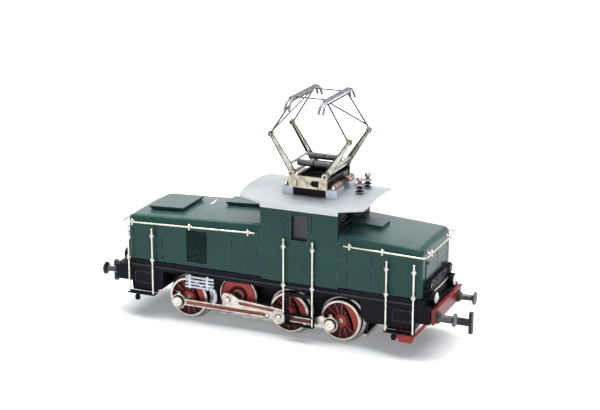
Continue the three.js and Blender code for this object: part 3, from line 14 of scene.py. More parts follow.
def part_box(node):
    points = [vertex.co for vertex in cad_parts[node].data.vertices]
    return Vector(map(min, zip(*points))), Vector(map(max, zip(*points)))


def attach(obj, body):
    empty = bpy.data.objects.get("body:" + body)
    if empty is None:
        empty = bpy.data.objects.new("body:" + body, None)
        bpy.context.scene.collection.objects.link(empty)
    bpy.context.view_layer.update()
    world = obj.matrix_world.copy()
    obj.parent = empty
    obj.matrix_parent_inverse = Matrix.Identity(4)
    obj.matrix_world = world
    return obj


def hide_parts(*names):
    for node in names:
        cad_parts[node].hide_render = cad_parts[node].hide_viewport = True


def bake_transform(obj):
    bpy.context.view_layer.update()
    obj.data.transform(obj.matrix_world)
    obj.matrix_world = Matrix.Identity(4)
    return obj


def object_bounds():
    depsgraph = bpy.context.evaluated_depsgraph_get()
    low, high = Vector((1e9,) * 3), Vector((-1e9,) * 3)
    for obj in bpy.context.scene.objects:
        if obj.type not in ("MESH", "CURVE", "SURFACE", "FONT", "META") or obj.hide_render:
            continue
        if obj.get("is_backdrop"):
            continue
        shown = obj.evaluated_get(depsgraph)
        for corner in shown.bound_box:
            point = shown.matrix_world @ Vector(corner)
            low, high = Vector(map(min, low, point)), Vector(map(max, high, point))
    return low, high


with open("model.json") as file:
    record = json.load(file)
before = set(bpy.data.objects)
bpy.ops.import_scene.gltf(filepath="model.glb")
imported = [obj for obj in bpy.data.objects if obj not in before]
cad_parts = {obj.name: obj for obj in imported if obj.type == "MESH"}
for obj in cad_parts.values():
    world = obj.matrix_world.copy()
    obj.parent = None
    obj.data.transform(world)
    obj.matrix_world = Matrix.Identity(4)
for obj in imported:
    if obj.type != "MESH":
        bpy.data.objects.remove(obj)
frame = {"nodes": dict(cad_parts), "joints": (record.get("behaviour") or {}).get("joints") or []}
frame_low, frame_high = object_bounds()
MM = 0.001
print("frame size in mm:", [round((b - a) / MM, 1) for a, b in zip(frame_low, frame_high)])

# %% [markdown]
# A joint of the frame knows its own pivot, so wheels and arms take their places from there.
# Much of a locomotive comes in pairs, one to each side or one to each end. A sign of -1 or 1
# says which one is meant, and it turns one list of sizes into two mirrored pieces.

# %% Read the pivots
joint_at = {joint["name"]: [v / MM for v in joint["pos_m"]] for joint in frame["joints"] if "pos_m" in joint}
SIGNS = (-1, 1)
SIDES = {"near": -1, "far": 1}
ENDS = {"rear": -1, "front": 1}
print("pivots read:", len(joint_at))

# %% [markdown]
# The camera stands to the right of the near side and a little above the hoods.
# A long lens keeps the lines of the body nearly parallel, as in a product photograph.

# %% Place the camera
CAMERA_AZIMUTH = math.radians(23.114)
CAMERA_ELEVATION = math.radians(16.905)
CAMERA_ROLL = math.radians(0.165)
CAMERA_DISTANCE = 470.47
CAMERA_TARGET = (4.643, 0.0, 38.07)
LENS, SENSOR = 94.138, 36
back = Vector((math.sin(CAMERA_AZIMUTH) * math.cos(CAMERA_ELEVATION),
               -math.cos(CAMERA_AZIMUTH) * math.cos(CAMERA_ELEVATION),
               math.sin(CAMERA_ELEVATION)))
bpy.ops.object.camera_add()
camera = bpy.context.object
camera.name = "camera"
camera.data.lens = LENS
camera.data.sensor_width = SENSOR
camera.data.clip_start = 0.01
camera.data.clip_end = 20
camera.location = (Vector(CAMERA_TARGET) + back * CAMERA_DISTANCE) * MM
camera.rotation_mode = "QUATERNION"
rolled = Matrix.Rotation(CAMERA_ROLL, 3, "Z").to_quaternion()
camera.rotation_quaternion = (-back).to_track_quat("-Z", "Y") @ rolled
bpy.context.scene.camera = camera
bpy.context.scene.view_settings.view_transform = "Standard"
print("camera at mm:", [round(v / MM) for v in camera.location])

# %% [markdown]
# Shader maths reads better as sums and products than as a web of nodes. A Field wraps one
# socket, and its operators add Math nodes. Nodes makes every other node of one tree, and a
# Finish is the tree of one material, with the noises and wear that all finishes share.

# %% Wrap shader sockets for use in sums
class Field:
    def __init__(self, nodes, socket):
        self.nodes = nodes
        self.socket = socket

    def maths(self, operation, first, second):
        return self.nodes.node("Math", {"operation": operation}, {0: first, 1: second})

    def __add__(self, other):
        return self.maths("ADD", self, other)

    def __sub__(self, other):
        return self.maths("SUBTRACT", self, other)

    def __rsub__(self, other):
        return self.maths("SUBTRACT", other, self)

    def __mul__(self, other):
        return self.maths("MULTIPLY", self, other)

    __radd__ = __add__
    __rmul__ = __mul__


# %% Make the nodes of one tree
class Nodes:
    def __init__(self, tree):
        self.tree = tree

    def node(self, kind, settings=None, inputs=None, output=0):
        made = self.tree.nodes.new("ShaderNode" + kind)
        for key, value in (settings or {}).items():
            setattr(made, key, value)
        for key, value in (inputs or {}).items():
            self.feed(made.inputs[key], value)
        return Field(self, made.outputs[output])

    def feed(self, socket, value):
        if isinstance(value, Field):
            self.tree.links.new(value.socket, socket)
        elif socket.type == "RGBA":
            socket.default_value = (*value, 1)
        else:
            socket.default_value = value

    def plainly_seen(self):
        camera_ray, glossy_ray, clear_ray = (self.node("LightPath", output="Is %s Ray" % kind)
                                             for kind in ("Camera", "Glossy", "Transmission"))
        return camera_ray + glossy_ray + clear_ray

    def show(self, last, shader):
        self.feed(self.tree.nodes[last].inputs["Surface"], shader)


# %% Make a material from a few nodes
class Finish(Nodes):
    def __init__(self, name):
        self.material = bpy.data.materials.new(name)
        self.material.use_nodes = True
        super().__init__(self.material.node_tree)
        self.shader = self.tree.nodes["Principled BSDF"]
        self.place = self.node("TexCoord", output="Object")

    def set(self, **inputs):
        for key, value in inputs.items():
            self.feed(self.shader.inputs[key.replace("_", " ")], value)

    def noise(self, per_mm, detail, place=None):
        return self.node("TexNoise", None,
                         {"Vector": place or self.place, "Scale": per_mm / MM, "Detail": detail})

    def between(self, field, low, high, start=0.0, end=1.0):
        return self.node("MapRange", {"interpolation_type": "SMOOTHSTEP"},
                         {"Value": field, "From Min": low, "From Max": high, "To Min": start, "To Max": end})

    def mix(self, share, first, second):
        return self.node("Mix", {"data_type": "RGBA"}, {0: share, 6: first, 7: second}, 2)

    def normal(self):
        return self.node("NewGeometry", output="Normal")

    def facing_up(self):
        return self.node("SeparateXYZ", None, {"Vector": self.normal()}, "Z")

    def edges(self, radius_mm):
        rounded = self.node("Bevel", {"samples": 4}, {"Radius": radius_mm * MM})
        same = self.node("VectorMath", {"operation": "DOT_PRODUCT"}, {0: self.normal(), 1: rounded}, "Value")
        return self.between(1.0 - same, 0.01, 0.12)

    def bump(self, height, strength, depth_mm):
        return self.node("Bump", None, {"Height": height, "Strength": strength, "Distance": depth_mm * MM})


print("finish helpers ready")

# %% [markdown]
# Sprayed enamel on a casting is never quite even: it is a little darker in the corners of a
# cloud-like pattern, holds fine orange peel, and dulls where fingers and dust have been.
# One recipe with different colours serves the green body, the black frame and the red parts.

# %% Mix a sprayed paint
def sprayed(name, base, deep, dust, roughness=0.38, peel=0.12, specular=0.3, worn=None, gloss=0.0):
    paint = Finish(name)
    clouds = paint.between(paint.noise(0.09, 3), 0.35, 0.7)
    grime = paint.between(paint.noise(0.6, 8), 0.52, 0.75)
    specks = paint.between(paint.noise(3.2, 2), 0.68, 0.76)
    up = paint.facing_up()
    settled = paint.between(up, 0.6, 1.0) * paint.between(paint.noise(0.35, 6), 0.45, 0.8)
    body = paint.mix(clouds, base, deep)
    body = paint.mix(grime * 0.22, body, deep)
    body = paint.mix(settled * 0.10 + specks * 0.07, body, dust)
    edges = paint.edges(0.22) * paint.between(paint.noise(0.8, 6), 0.46, 0.62)
    paint.set(Base_Color=paint.mix(edges * 0.55, body, worn or dust),
              Roughness=grime * 0.10 + clouds * 0.05 + roughness,
              Normal=paint.bump(paint.noise(2.4, 5), peel, 0.03), Specular_IOR_Level=specular)
    if gloss:
        paint.set(Coat_Weight=paint.between(up, 0.93, 0.995) * gloss, Coat_Roughness=0.36)
    return paint


# %% Green and black paints
green = sprayed("green enamel", (0.012, 0.055, 0.046), (0.010, 0.046, 0.038), (0.14, 0.22, 0.20),
                0.24, 0.08, 0.20, worn=(0.20, 0.28, 0.25), gloss=0.72)
# A near-black green for the louvre slats, much darker than the hood: painted shade in the louvre.
louvre_shade_green = sprayed("shaded louvre green", (0.004, 0.016, 0.014), (0.002, 0.009, 0.008),
                       (0.05, 0.09, 0.08), 0.4, 0.08, 0.12, worn=(0.04, 0.08, 0.07))
black = sprayed("black enamel", (0.004, 0.004, 0.008), (0.002, 0.002, 0.004), (0.05, 0.046, 0.07),
                0.40, 0.12, 0.10, worn=(0.10, 0.095, 0.13))
# A paler, glossier black: painted highlight on the frame's ledges and rims. It also marks the joint between
# the hood doors.
edge_black = sprayed("paler black edge", (0.012, 0.011, 0.020), (0.007, 0.006, 0.011), (0.08, 0.075, 0.10),
                     0.40, 0.12, 0.3, worn=(0.16, 0.15, 0.20))
# A near-black for the tread band of each tyre, between the face ring and the flange.
dark_tread = sprayed("dark tread black", (0.008, 0.008, 0.010), (0.005, 0.005, 0.006), (0.05, 0.05, 0.05),
                 0.6, 0.2, 0.2)
print("dark paints:", len(bpy.data.materials))

# %% Red paints
red = sprayed("red enamel", (0.40, 0.040, 0.026), (0.30, 0.026, 0.018), (0.60, 0.36, 0.30), 0.36,
              worn=(0.66, 0.34, 0.28))
beam_red = sprayed("buffer beam red", (0.27, 0.026, 0.019), (0.17, 0.014, 0.013), (0.62, 0.34, 0.30), 0.34,
                   worn=(0.70, 0.38, 0.32))
disc_red = sprayed("disc red", (0.42, 0.045, 0.038), (0.30, 0.024, 0.022), (0.6, 0.32, 0.30), 0.38,
                   worn=(0.62, 0.30, 0.27))
# Near-black red for the web between the spokes and the gap inside the jackshaft rim: painted shade.
web_shade_red = sprayed("shaded wheel red", (0.055, 0.004, 0.005), (0.026, 0.002, 0.003), (0.14, 0.05, 0.05), 0.5,
                  specular=0.2)
# The spokes are a paler, pinkish red than the rest of the wheel centre.
spoke_red = sprayed("pale spoke red", (0.34, 0.085, 0.075), (0.20, 0.03, 0.03), (0.66, 0.5, 0.42), 0.4,
                    worn=(0.7, 0.5, 0.45))
flute_red = sprayed("flute red", (0.34, 0.115, 0.085), (0.24, 0.06, 0.05), (0.6, 0.42, 0.38), 0.45)
print("reds:", [m.name for m in bpy.data.materials if "red" in m.name])

# %% [markdown]
# The roof is sprayed with a silver paint: tiny flakes give it a metal look without sharp
# reflections. A fine grain in roughness and colour does the same here. Where a face turns
# to the side it is painted paler: a painted highlight along the lip of the roof.

# %% Silver paints
def flaked(name, base, deep, metallic, roughness, side_highlight=None):
    paint = Finish(name)
    clouds = paint.between(paint.noise(0.07, 4), 0.35, 0.7)
    flakes = paint.between(paint.noise(7.0, 1), 0.4, 0.65)
    stains = paint.between(paint.noise(0.5, 9), 0.58, 0.75)
    body = paint.mix(clouds, base, deep)
    body = paint.mix(flakes * 0.18, body, (0.80, 0.82, 0.84))
    body = paint.mix(stains * 0.25, body, (0.22, 0.215, 0.21))
    # Faces that turn to the side get a paler silver: painted highlight on the roof's lip.
    if side_highlight:
        body = paint.mix(paint.between(paint.facing_up(), 0.92, 0.55), body, side_highlight)
    paint.set(Base_Color=body, Metallic=metallic, Roughness=roughness + stains * 0.15 + flakes * 0.08,
              Normal=paint.bump(paint.noise(5.0, 3), 0.10, 0.03))
    return paint


roof_silver = flaked("silver roof paint", (0.33, 0.355, 0.37), (0.26, 0.28, 0.295), 0.38, 0.36,
                     side_highlight=(0.50, 0.52, 0.54))
foot_silver = flaked("silver foot paint", (0.42, 0.46, 0.53), (0.27, 0.31, 0.38), 0.5, 0.34)
grid_silver = flaked("pale blue silver", (0.56, 0.62, 0.68), (0.42, 0.47, 0.54), 0.35, 0.38)
pipe_grey = flaked("ribbed pipe grey", (0.22, 0.24, 0.27), (0.13, 0.14, 0.16), 0.35, 0.42)
print("silver paints mixed")

# %% [markdown]
# Bare metal on an old model is plated or polished, then tarnishes in patches. On the rods, the
# tyres and the collector strips the marks of the tool run one way, so the bump noise is
# stretched along them.

# %% Plated and bare metals
def metal(name, base, tarnish, roughness, patches=0.5, along=(1, 1, 1)):
    made = Finish(name)
    dull = made.between(made.noise(0.55, 7), 0.42, 0.72)
    spots = made.between(made.noise(3.0, 5), 0.62, 0.74)
    body = made.mix(dull * patches, base, tarnish)
    body = made.mix(spots * patches * 0.6, body, [v * 0.45 for v in tarnish])
    drawn = made.noise(4.0, 4, made.node("Mapping", None, {"Vector": made.place, "Scale": along}))
    made.set(Base_Color=body, Metallic=1.0, Roughness=roughness + dull * 0.14 + spots * 0.1,
             Normal=made.bump(drawn, 0.10, 0.04))
    return made


nickel = metal("polished nickel", (0.66, 0.64, 0.57), (0.34, 0.31, 0.24), 0.24)
tyre_nickel = metal("turned tyre", (0.52, 0.49, 0.43), (0.28, 0.24, 0.19), 0.30, 0.6, (1, 6, 1))
rod_nickel = metal("rod nickel", (0.56, 0.52, 0.48), (0.32, 0.25, 0.22), 0.28, 0.7, (0.2, 1, 3))
warm_nickel = metal("tarnished nickel", (0.40, 0.37, 0.29), (0.12, 0.10, 0.06), 0.30, 0.8)
arm_nickel = metal("arm nickel", (0.42, 0.41, 0.35), (0.17, 0.155, 0.11), 0.28, 0.7)
wire_steel = metal("wire steel", (0.085, 0.08, 0.072), (0.03, 0.027, 0.023), 0.34, 0.6)
gunmetal = metal("blackened steel", (0.05, 0.05, 0.047), (0.018, 0.018, 0.016), 0.38, 0.6)
coupler_black = metal("coupler black", (0.035, 0.037, 0.047), (0.014, 0.014, 0.02), 0.42, 0.6)
buffer_steel = metal("buffer steel", (0.085, 0.083, 0.074), (0.03, 0.028, 0.025), 0.36, 0.7)
spring_steel = metal("spring steel", (0.15, 0.15, 0.16), (0.05, 0.05, 0.055), 0.32, 0.6)
strip_silver = metal("collector strip", (0.20, 0.215, 0.23), (0.09, 0.10, 0.115), 0.36, 0.6, (1, 0.2, 1))
flange_steel = metal("flange steel", (0.42, 0.40, 0.39), (0.18, 0.17, 0.165), 0.36, 0.6)
steel = metal("plain steel", (0.50, 0.50, 0.48), (0.2, 0.19, 0.17), 0.34)
copper = metal("bare copper", (0.43, 0.28, 0.225), (0.17, 0.10, 0.08), 0.32, 0.6)
brass = metal("bare brass", (0.74, 0.58, 0.26), (0.40, 0.29, 0.12), 0.30)
print("metals made")

# %% [markdown]
# The cab windows are one clear moulding in front of a dark room. From outside they look
# greyish violet and slightly milky, and solid enough to be made as a glossy moulding here.
# The lamp lenses, the small dark lamps and the glazed insulators follow the same recipe.

# %% Glazing, lenses and the brush board
def glazed(name, tint, roughness, coat, specular=0.5):
    made = Finish(name)
    haze = made.between(made.noise(0.3, 5), 0.35, 0.7)
    made.set(Base_Color=made.mix(haze, tint, [v * 0.7 for v in tint]), Roughness=roughness + haze * 0.12,
             Normal=made.bump(made.noise(0.8, 2), 0.03, 0.03), Coat_Weight=coat, Specular_IOR_Level=specular)
    return made


glazing = glazed("milky cab glazing", (0.042, 0.040, 0.056), 0.22, 0.15, 0.3)
lens_clear = glazed("lamp lens", (0.80, 0.84, 0.86), 0.08, 1.0)
lens_dark = glazed("unlit dark lens", (0.03, 0.03, 0.035), 0.12, 1.0)
insulator_black = glazed("glazed insulator", (0.014, 0.014, 0.03), 0.14, 0.9)
board = sprayed("pressed board", (0.10, 0.05, 0.022), (0.06, 0.03, 0.014), (0.3, 0.22, 0.15), 0.6)
print("all finishes:", len(bpy.data.materials))

# %% [markdown]
# Every new shape starts as a Blender primitive and is shaped with edit-mode operators.
# A turned shape is a profile on a circle of corners, spun about an axis. With a side of -1 its
# heights are turned over, for the other side or end. A wire is a curve with a round bevel. A
# slab is an outline that is filled, pushed out and bevelled.

# %% Tools: select, add, edit, coat
def alone(*objs):
    bpy.ops.object.select_all(action="DESELECT")
    for obj in objs:
        obj.select_set(True)
    bpy.context.view_layer.objects.active = objs[0]


def added(operator, **settings):
    bpy.ops.object.select_all(action="DESELECT")
    operator(**settings)
    return bpy.context.object


def edit(*steps):
    bpy.ops.object.mode_set(mode="EDIT")
    bpy.ops.mesh.select_all(action="SELECT")
    for step, settings in steps:
        step(**settings)
    bpy.ops.object.mode_set(mode="OBJECT")
    return bpy.context.object


def coat(obj, finish):
    obj.data.materials.clear()
    obj.data.materials.append(finish.material)
    return obj


def loop_of(points):
    obj = added(bpy.ops.mesh.primitive_circle_add, vertices=len(points), radius=1)
    for vertex, point in zip(obj.data.vertices, points):
        vertex.co = point


# %% Tools: turned shapes, wires, balls
TURN_TO = {"Z": Matrix.Identity(4), "Y": Matrix.Rotation(-math.pi / 2, 4, "X"),
           "X": Matrix.Rotation(math.pi / 2, 4, "Y")}
MERGE = {"threshold": 0.002}
ALL = (bpy.ops.mesh.select_all, {"action": "SELECT"})
OUTWARDS = (bpy.ops.mesh.normals_make_consistent, {"inside": False})


def turned(finish, profile, axis="Z", at=(0, 0, 0), turns=40, side=1):
    loop_of([(radius, 0, side * height) for radius, height in profile])
    spin = {"steps": turns, "angle": 2 * math.pi, "center": (0, 0, 0), "axis": (0, 0, 1)}
    obj = edit((bpy.ops.mesh.spin, spin), ALL, (bpy.ops.mesh.remove_doubles, MERGE),
               (bpy.ops.mesh.dissolve_degenerate, MERGE), OUTWARDS)
    obj.data.transform(Matrix.Translation(at) @ TURN_TO[axis])
    return coat(obj, finish)


def drum(radius, low, high, bore=0.0):
    return [(bore, low), (radius, low), (radius, high), (bore, high)]


def wire(finish, points, radius, closed=False, roundness=2, ribs=1.0):
    curve = added(bpy.ops.curve.primitive_nurbs_path_add).data
    curve.splines.clear()
    spline = curve.splines.new("POLY")
    spline.points.add(len(points) - 1)
    for i, (spot, point) in enumerate(zip(spline.points, points)):
        spot.co = (*point, 1)
        spot.radius = ribs if i % 2 else 1.0
    spline.use_cyclic_u = closed
    curve.bevel_depth = radius
    curve.bevel_resolution = roundness
    curve.use_fill_caps = True
    bpy.ops.object.convert(target="MESH")
    return coat(bpy.context.object, finish)


def ball(finish, at, radius, segments=20):
    obj = added(bpy.ops.mesh.primitive_uv_sphere_add, segments=segments, ring_count=segments // 2,
                radius=radius)
    obj.data.transform(Matrix.Translation(at))
    return coat(obj, finish)


# %% Tools: blocks and slabs
def block(finish, corner, opposite, bevel=0.12, segments=2):
    obj = added(bpy.ops.mesh.primitive_cube_add, size=1)
    size = [abs(b - a) for a, b in zip(corner, opposite)]
    middle = [(a + b) / 2 for a, b in zip(corner, opposite)]
    obj.data.transform(Matrix.Translation(middle) @ Matrix.Diagonal((*size, 1)))
    edit((bpy.ops.mesh.bevel, {"offset": min(bevel, 0.45 * min(size)), "segments": segments}))
    return coat(obj, finish)


def slab(finish, outline, face, other_face, bevel=0.1, segments=2, axis="Y"):
    low, high = sorted((face, other_face))
    at = "XYZ".index(axis)
    loop_of([(*pair[:at], low, *pair[at:]) for pair in outline])
    push = [high - low if letter == axis else 0 for letter in "XYZ"]
    obj = edit((bpy.ops.mesh.edge_face_add, {}),
               (bpy.ops.mesh.extrude_region_move, {"TRANSFORM_OT_translate": {"value": push}}), ALL, OUTWARDS)
    if bevel:
        edit((bpy.ops.mesh.bevel, {"offset": bevel, "segments": segments}))
    return coat(obj, finish)


def rectangle(left, low, right, high):
    return [(left, low), (right, low), (right, high), (left, high)]


# %% Tools: bent and round paths
def bent(points, radius, steps=6):
    path = [Vector(points[0])]
    for before, corner, after in zip(points, points[1:], points[2:]):
        corner = Vector(corner)
        start = corner + (Vector(before) - corner).normalized() * radius
        stop = corner + (Vector(after) - corner).normalized() * radius
        for i in range(steps + 1):
            t = i / steps
            path.append(start * (1 - t) ** 2 + corner * (2 * t * (1 - t)) + stop * t ** 2)
    return [tuple(p) for p in path] + [tuple(points[-1])]


def arc(radius, start, stop, steps, middle=(0, 0)):
    angles = [math.radians(start) + math.radians(stop - start) * i / steps for i in range(steps + 1)]
    return [(middle[0] + radius * math.cos(a), middle[1] + radius * math.sin(a)) for a in angles]


def round_path(radius, steps, put):
    angles = [2 * math.pi * i / steps for i in range(steps)]
    return [put(radius * math.cos(a), radius * math.sin(a)) for a in angles]


# %% Tools: copy, join and finish a piece
SMOOTH_ANGLE = math.radians(38)
MIRROR_Y = Matrix.Diagonal((1, -1, 1, 1))


def shifted(x=0.0, y=0.0, z=0.0):
    return Matrix.Translation((x, y, z))


def copied(obj, matrix):
    twin = obj.copy()
    twin.data = obj.data.copy()
    bpy.context.collection.objects.link(twin)
    twin.data.transform(matrix)
    if matrix.determinant() < 0:
        twin.data.flip_normals()
    return twin


def joined(parts):
    alone(*parts)
    if len(parts) > 1:
        bpy.ops.object.join()
    return bpy.context.object


def smoothed(obj):
    alone(obj)
    bpy.ops.object.shade_smooth_by_angle(angle=SMOOTH_ANGLE)
    level = obj.modifiers.new("even", "WEIGHTED_NORMAL")
    level.keep_sharp = True
    bpy.ops.object.modifier_apply(modifier=level.name)


def named(name, parts):
    obj = joined(parts)
    obj.name = name
    obj.data.name = name
    obj.data.transform(Matrix.Scale(MM, 4))
    smoothed(obj)
    return obj


def finished(name, parts, stands_for=(), body="locomotive"):
    obj = named(name, parts)
    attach(obj, body)
    if stands_for:
        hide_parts(*stands_for)
    return obj


def forget(*patterns):
    for pattern in patterns:
        bpy.data.objects.remove(pattern)


# %% Tools: dress a frame node with small bevels
def dressed(node, finish, slot, bevel=0.12, segments=2, body="locomotive", extra=()):
    source = frame["nodes"][node]
    obj = source.copy()
    obj.data = source.data.copy()
    bpy.context.collection.objects.link(obj)
    obj.parent = None
    obj.data.transform(source.matrix_world)
    obj.matrix_world = Matrix.Identity(4)
    obj.data.transform(Matrix.Scale(1 / MM, 4))
    coat(obj, finish)
    alone(obj)
    edit((bpy.ops.mesh.remove_doubles, MERGE),
         (bpy.ops.mesh.dissolve_limited, {"angle_limit": math.radians(1)}))
    soften = obj.modifiers.new("soften", "BEVEL")
    soften.width = bevel
    soften.segments = segments
    soften.limit_method = "ANGLE"
    soften.angle_limit = math.radians(32)
    bpy.ops.object.modifier_apply(modifier=soften.name)
    return finished(node + "_dressed", [obj, *extra], [node], body)


print("modelling tools ready")

# %% [markdown]
# The body is one thin zinc casting: two hoods of different lengths, and a cab between them.
# Its shape comes from the frame. A copy gets small rounded edges, because a cast and sprayed
# edge is never sharp and each edge catches a line of light. The same is done for the roof,
# the chassis, the lids, the beams and the plain parts of the drive.

# %% Dress the castings and the drive
for row in (("body_shell", green, "green_paint", 0.16),
            ("cab_roof", roof_silver, "silver_paint", 0.12),
            ("chassis_frame", black, "black_paint", 0.08, 1),
            ("cab_glazing", glazing, "tinted_glazing", 0.06, 1),
            ("hood_hatch_end", green, "green_paint", 0.14),
            ("hood_hatch_cab", green, "green_paint", 0.14),
            ("buffer_beam_front", beam_red, "red_paint", 0.12),
            ("buffer_beam_rear", black, "black_paint", 0.1),
            ("base_plate", steel, "steel", 0.06, 1),
            ("pickup_shoe", steel, "steel", 0.05, 1, "pickup"),
            ("brush_plate", board, "brown_insulator", 0.05, 1),
            ("field_magnet", gunmetal, "gunmetal", 0.08, 1),
            ("armature", copper, "copper", 0.05, 1, "rotor"),
            ("idler_gear", brass, "brass", 0.03, 1, "idler"),
            ("axle_1", steel, "steel", 0.08, 1, "wheelset_1"),
            ("drive_axle", steel, "steel", 0.03, 1, "wheelset_2"),
            ("axle_3", steel, "steel", 0.08, 1, "wheelset_3"),
            ("body_screw", steel, "steel", 0.05, 1)):
    dressed(*row)

# %% [markdown]
# The frame has a ledge along its top and a raised rim round each step box, and a skirt
# closes the box below. These are strips that stand a few tenths of a millimetre proud.
# The ledge and the rims are a paler, glossier black than the frame: painted highlight on these edges.

# %% Add the strips of the frame
RIM_BARS = (((39.2, 10.9), (45.2, 11.2)), ((39.2, 14.3), (45.2, 14.6)),
            ((39.2, 10.9), (39.5, 14.6)), ((44.9, 10.9), (45.2, 14.6)))
LEDGE_END = 46.2
strips = []
for sign in SIGNS:
    strips.append(block(edge_black, (-LEDGE_END, sign * 12.9, 16.5), (LEDGE_END, sign * 13.28, 17.05), 0.1))
    for out in SIGNS:
        for (x0, z0), (x1, z1) in RIM_BARS:
            strips.append(block(edge_black, (out * x0, sign * 12.6, z0), (out * x1, sign * 13.1, z1),
                                0.05, 1))
        strips.append(block(black, (out * 37.6, sign * 12.0, 8.2), (out * 46.1, sign * 12.68, 9.6), 0.1))
finished("frame_flanges", strips)
print("strips:", len(strips))

# %% [markdown]
# Each wheel has a turned tyre with a flange and a near-black tread band, a spoked centre whose
# web is painted near-black red as painted shade behind paler spokes, a bright red
# counterweight opposite the crank pin, and a round nut that keeps the coupling rod on.
# A wheel is modelled once on its own centre with the pin along +X, then copied: mirrored
# to the far side and turned to the crank's angle, a quarter turn apart on the two sides.

# %% Sizes of the wheels
AXLES = [joint_at[name] for name in ("wheelset_1_spin", "drive_spin", "wheelset_3_spin")]
AXLE_X = [place[0] for place in AXLES]
AXLE_Z = AXLES[0][2]
CRANK = 2.75
CRANK_ANGLE = {"near": math.radians(202), "far": math.radians(292)}
CRANK_PIN = (CRANK, 0, 0)
TREAD = 6.4
RIM_IN = 5.5
FACE_Y = 10.2
ROD_BACK = 10.95
ROD_FACE = 12.1
PIN_R = 0.74
SPOKES = 14


def cranked(side, x, z):
    mirror = MIRROR_Y if side == "far" else Matrix.Identity(4)
    return shifted(x, 0, z) @ Matrix.Rotation(-CRANK_ANGLE[side], 4, "Y") @ mirror


print("axles at x:", [round(x, 2) for x in AXLE_X])

# %% Model one tyre
tyre_profile = [(RIM_IN, -8.1), (RIM_IN, -9.98), (RIM_IN + 0.12, -FACE_Y), (TREAD - 0.18, -FACE_Y),
                (TREAD - 0.02, -10.05), (TREAD - 0.02, -9.6), (TREAD - 0.3, -9.6), (TREAD - 0.3, -8.1)]
band_profile = [(TREAD - 0.35, -9.58), (TREAD, -9.56), (TREAD + 0.08, -9.4), (TREAD + 0.08, -8.3),
                (TREAD, -8.14), (TREAD - 0.35, -8.12)]
flange_profile = [(RIM_IN, -8.14), (TREAD + 0.02, -8.14), (TREAD + 0.2, -8.04), (TREAD + 0.6, -7.96),
                  (7.22, -7.72), (7.3, -7.45), (7.22, -7.2), (7.05, -7.1), (RIM_IN, -7.1)]
tyre_pattern = joined([turned(finish, profile, "Y", turns=72) for finish, profile in
                       ((tyre_nickel, tyre_profile), (dark_tread, band_profile), (flange_steel, flange_profile))])
print("tyre faces:", len(tyre_pattern.data.polygons))

# %% Model one wheel centre with its tapered spokes
def crank_boss(back_y):
    return [(0.0, back_y), (1.45, back_y), (1.45, -10.4), (1.3, -10.55), (0.0, -10.55)]


web_profile = [(0.6, -9.0), (0.6, -9.5), (2.1, -9.48), (RIM_IN + 0.1, -9.28), (RIM_IN + 0.1, -8.6),
               (0.6, -8.6)]
centre_parts = [turned(web_shade_red, web_profile, "Y", turns=56)]
spoke_outline = [(1.7, -0.19), (RIM_IN + 0.12, -0.12), (RIM_IN + 0.12, 0.12), (1.7, 0.19)]
spoke = slab(spoke_red, spoke_outline, -9.82, -9.3, 0.07)
for i in range(SPOKES):
    centre_parts.append(copied(spoke, Matrix.Rotation(2 * math.pi * (i + 0.5) / SPOKES, 4, "Y")))
forget(spoke)
hub_ring = [(0.78, -9.2), (2.0, -9.2), (2.0, -10.2), (1.86, -10.4), (1.05, -10.46), (0.84, -10.34),
            (0.78, -10.0)]
centre_parts.append(turned(disc_red, hub_ring, "Y"))
axle_end = [(0.0, -9.2), (0.76, -9.2), (0.76, -10.34), (0.62, -10.46), (0.28, -10.46), (0.2, -10.34),
            (0.0, -10.34)]
centre_parts.append(turned(flange_steel, axle_end, "Y", turns=20))
weight_outline = arc(RIM_IN + 0.06, 180 - 62, 180 + 62, 24) + arc(13.6, 180 + 21, 180 - 21, 12, (10.2, 0))
centre_parts.append(slab(red, weight_outline, -9.98, -9.3, 0.12))
centre_parts.append(turned(disc_red, crank_boss(-9.2), "Y", CRANK_PIN))
centre_pattern = joined(centre_parts)
print("wheel centre faces:", len(centre_pattern.data.polygons))

# %% Model the crank pin, the nut and the plain pin end
def pin(head, proud, turns):
    start, stop = -ROD_FACE - 0.28, -ROD_FACE - proud
    profile = [(0.0, -9.6), (PIN_R, -9.6), (PIN_R, start), (head - 0.1, start), (head, start - 0.08),
               (head, stop + 0.2), (head - 0.22, stop), (0.62, stop - 0.02), (0.5, stop + 0.08),
               (0.0, stop + 0.08)]
    return turned(nickel, profile, "Y", CRANK_PIN, turns)


PLAIN_PIN = (PIN_R, 0.32, 24)
nut_patterns = [pin(1.56, 0.9, 36), pin(*PLAIN_PIN), pin(1.64, 0.9, 36)]
print("pins modelled:", len(nut_patterns))

# %% Copy the wheels into place
for side in SIDES:
    for i, x in enumerate(AXLE_X):
        place = cranked(side, x, AXLE_Z)
        body = "wheelset_%d" % (i + 1)
        node = "wheel_%d_%s" % (i + 1, side)
        finished(node + "_tyre", [copied(tyre_pattern, place)], body=body)
        finished(node + "_centre", [copied(centre_pattern, place)], [node], body)
        finished(node + "_pin", [copied(nut_patterns[i], place)], body=body)
print("wheels placed:", 2 * len(AXLE_X))

# %% [markdown]
# The jackshaft carries a disc crank at each end. Its face is painted red inside a bare
# turned rim, and its pin drives the coupling rod through the tall plate.

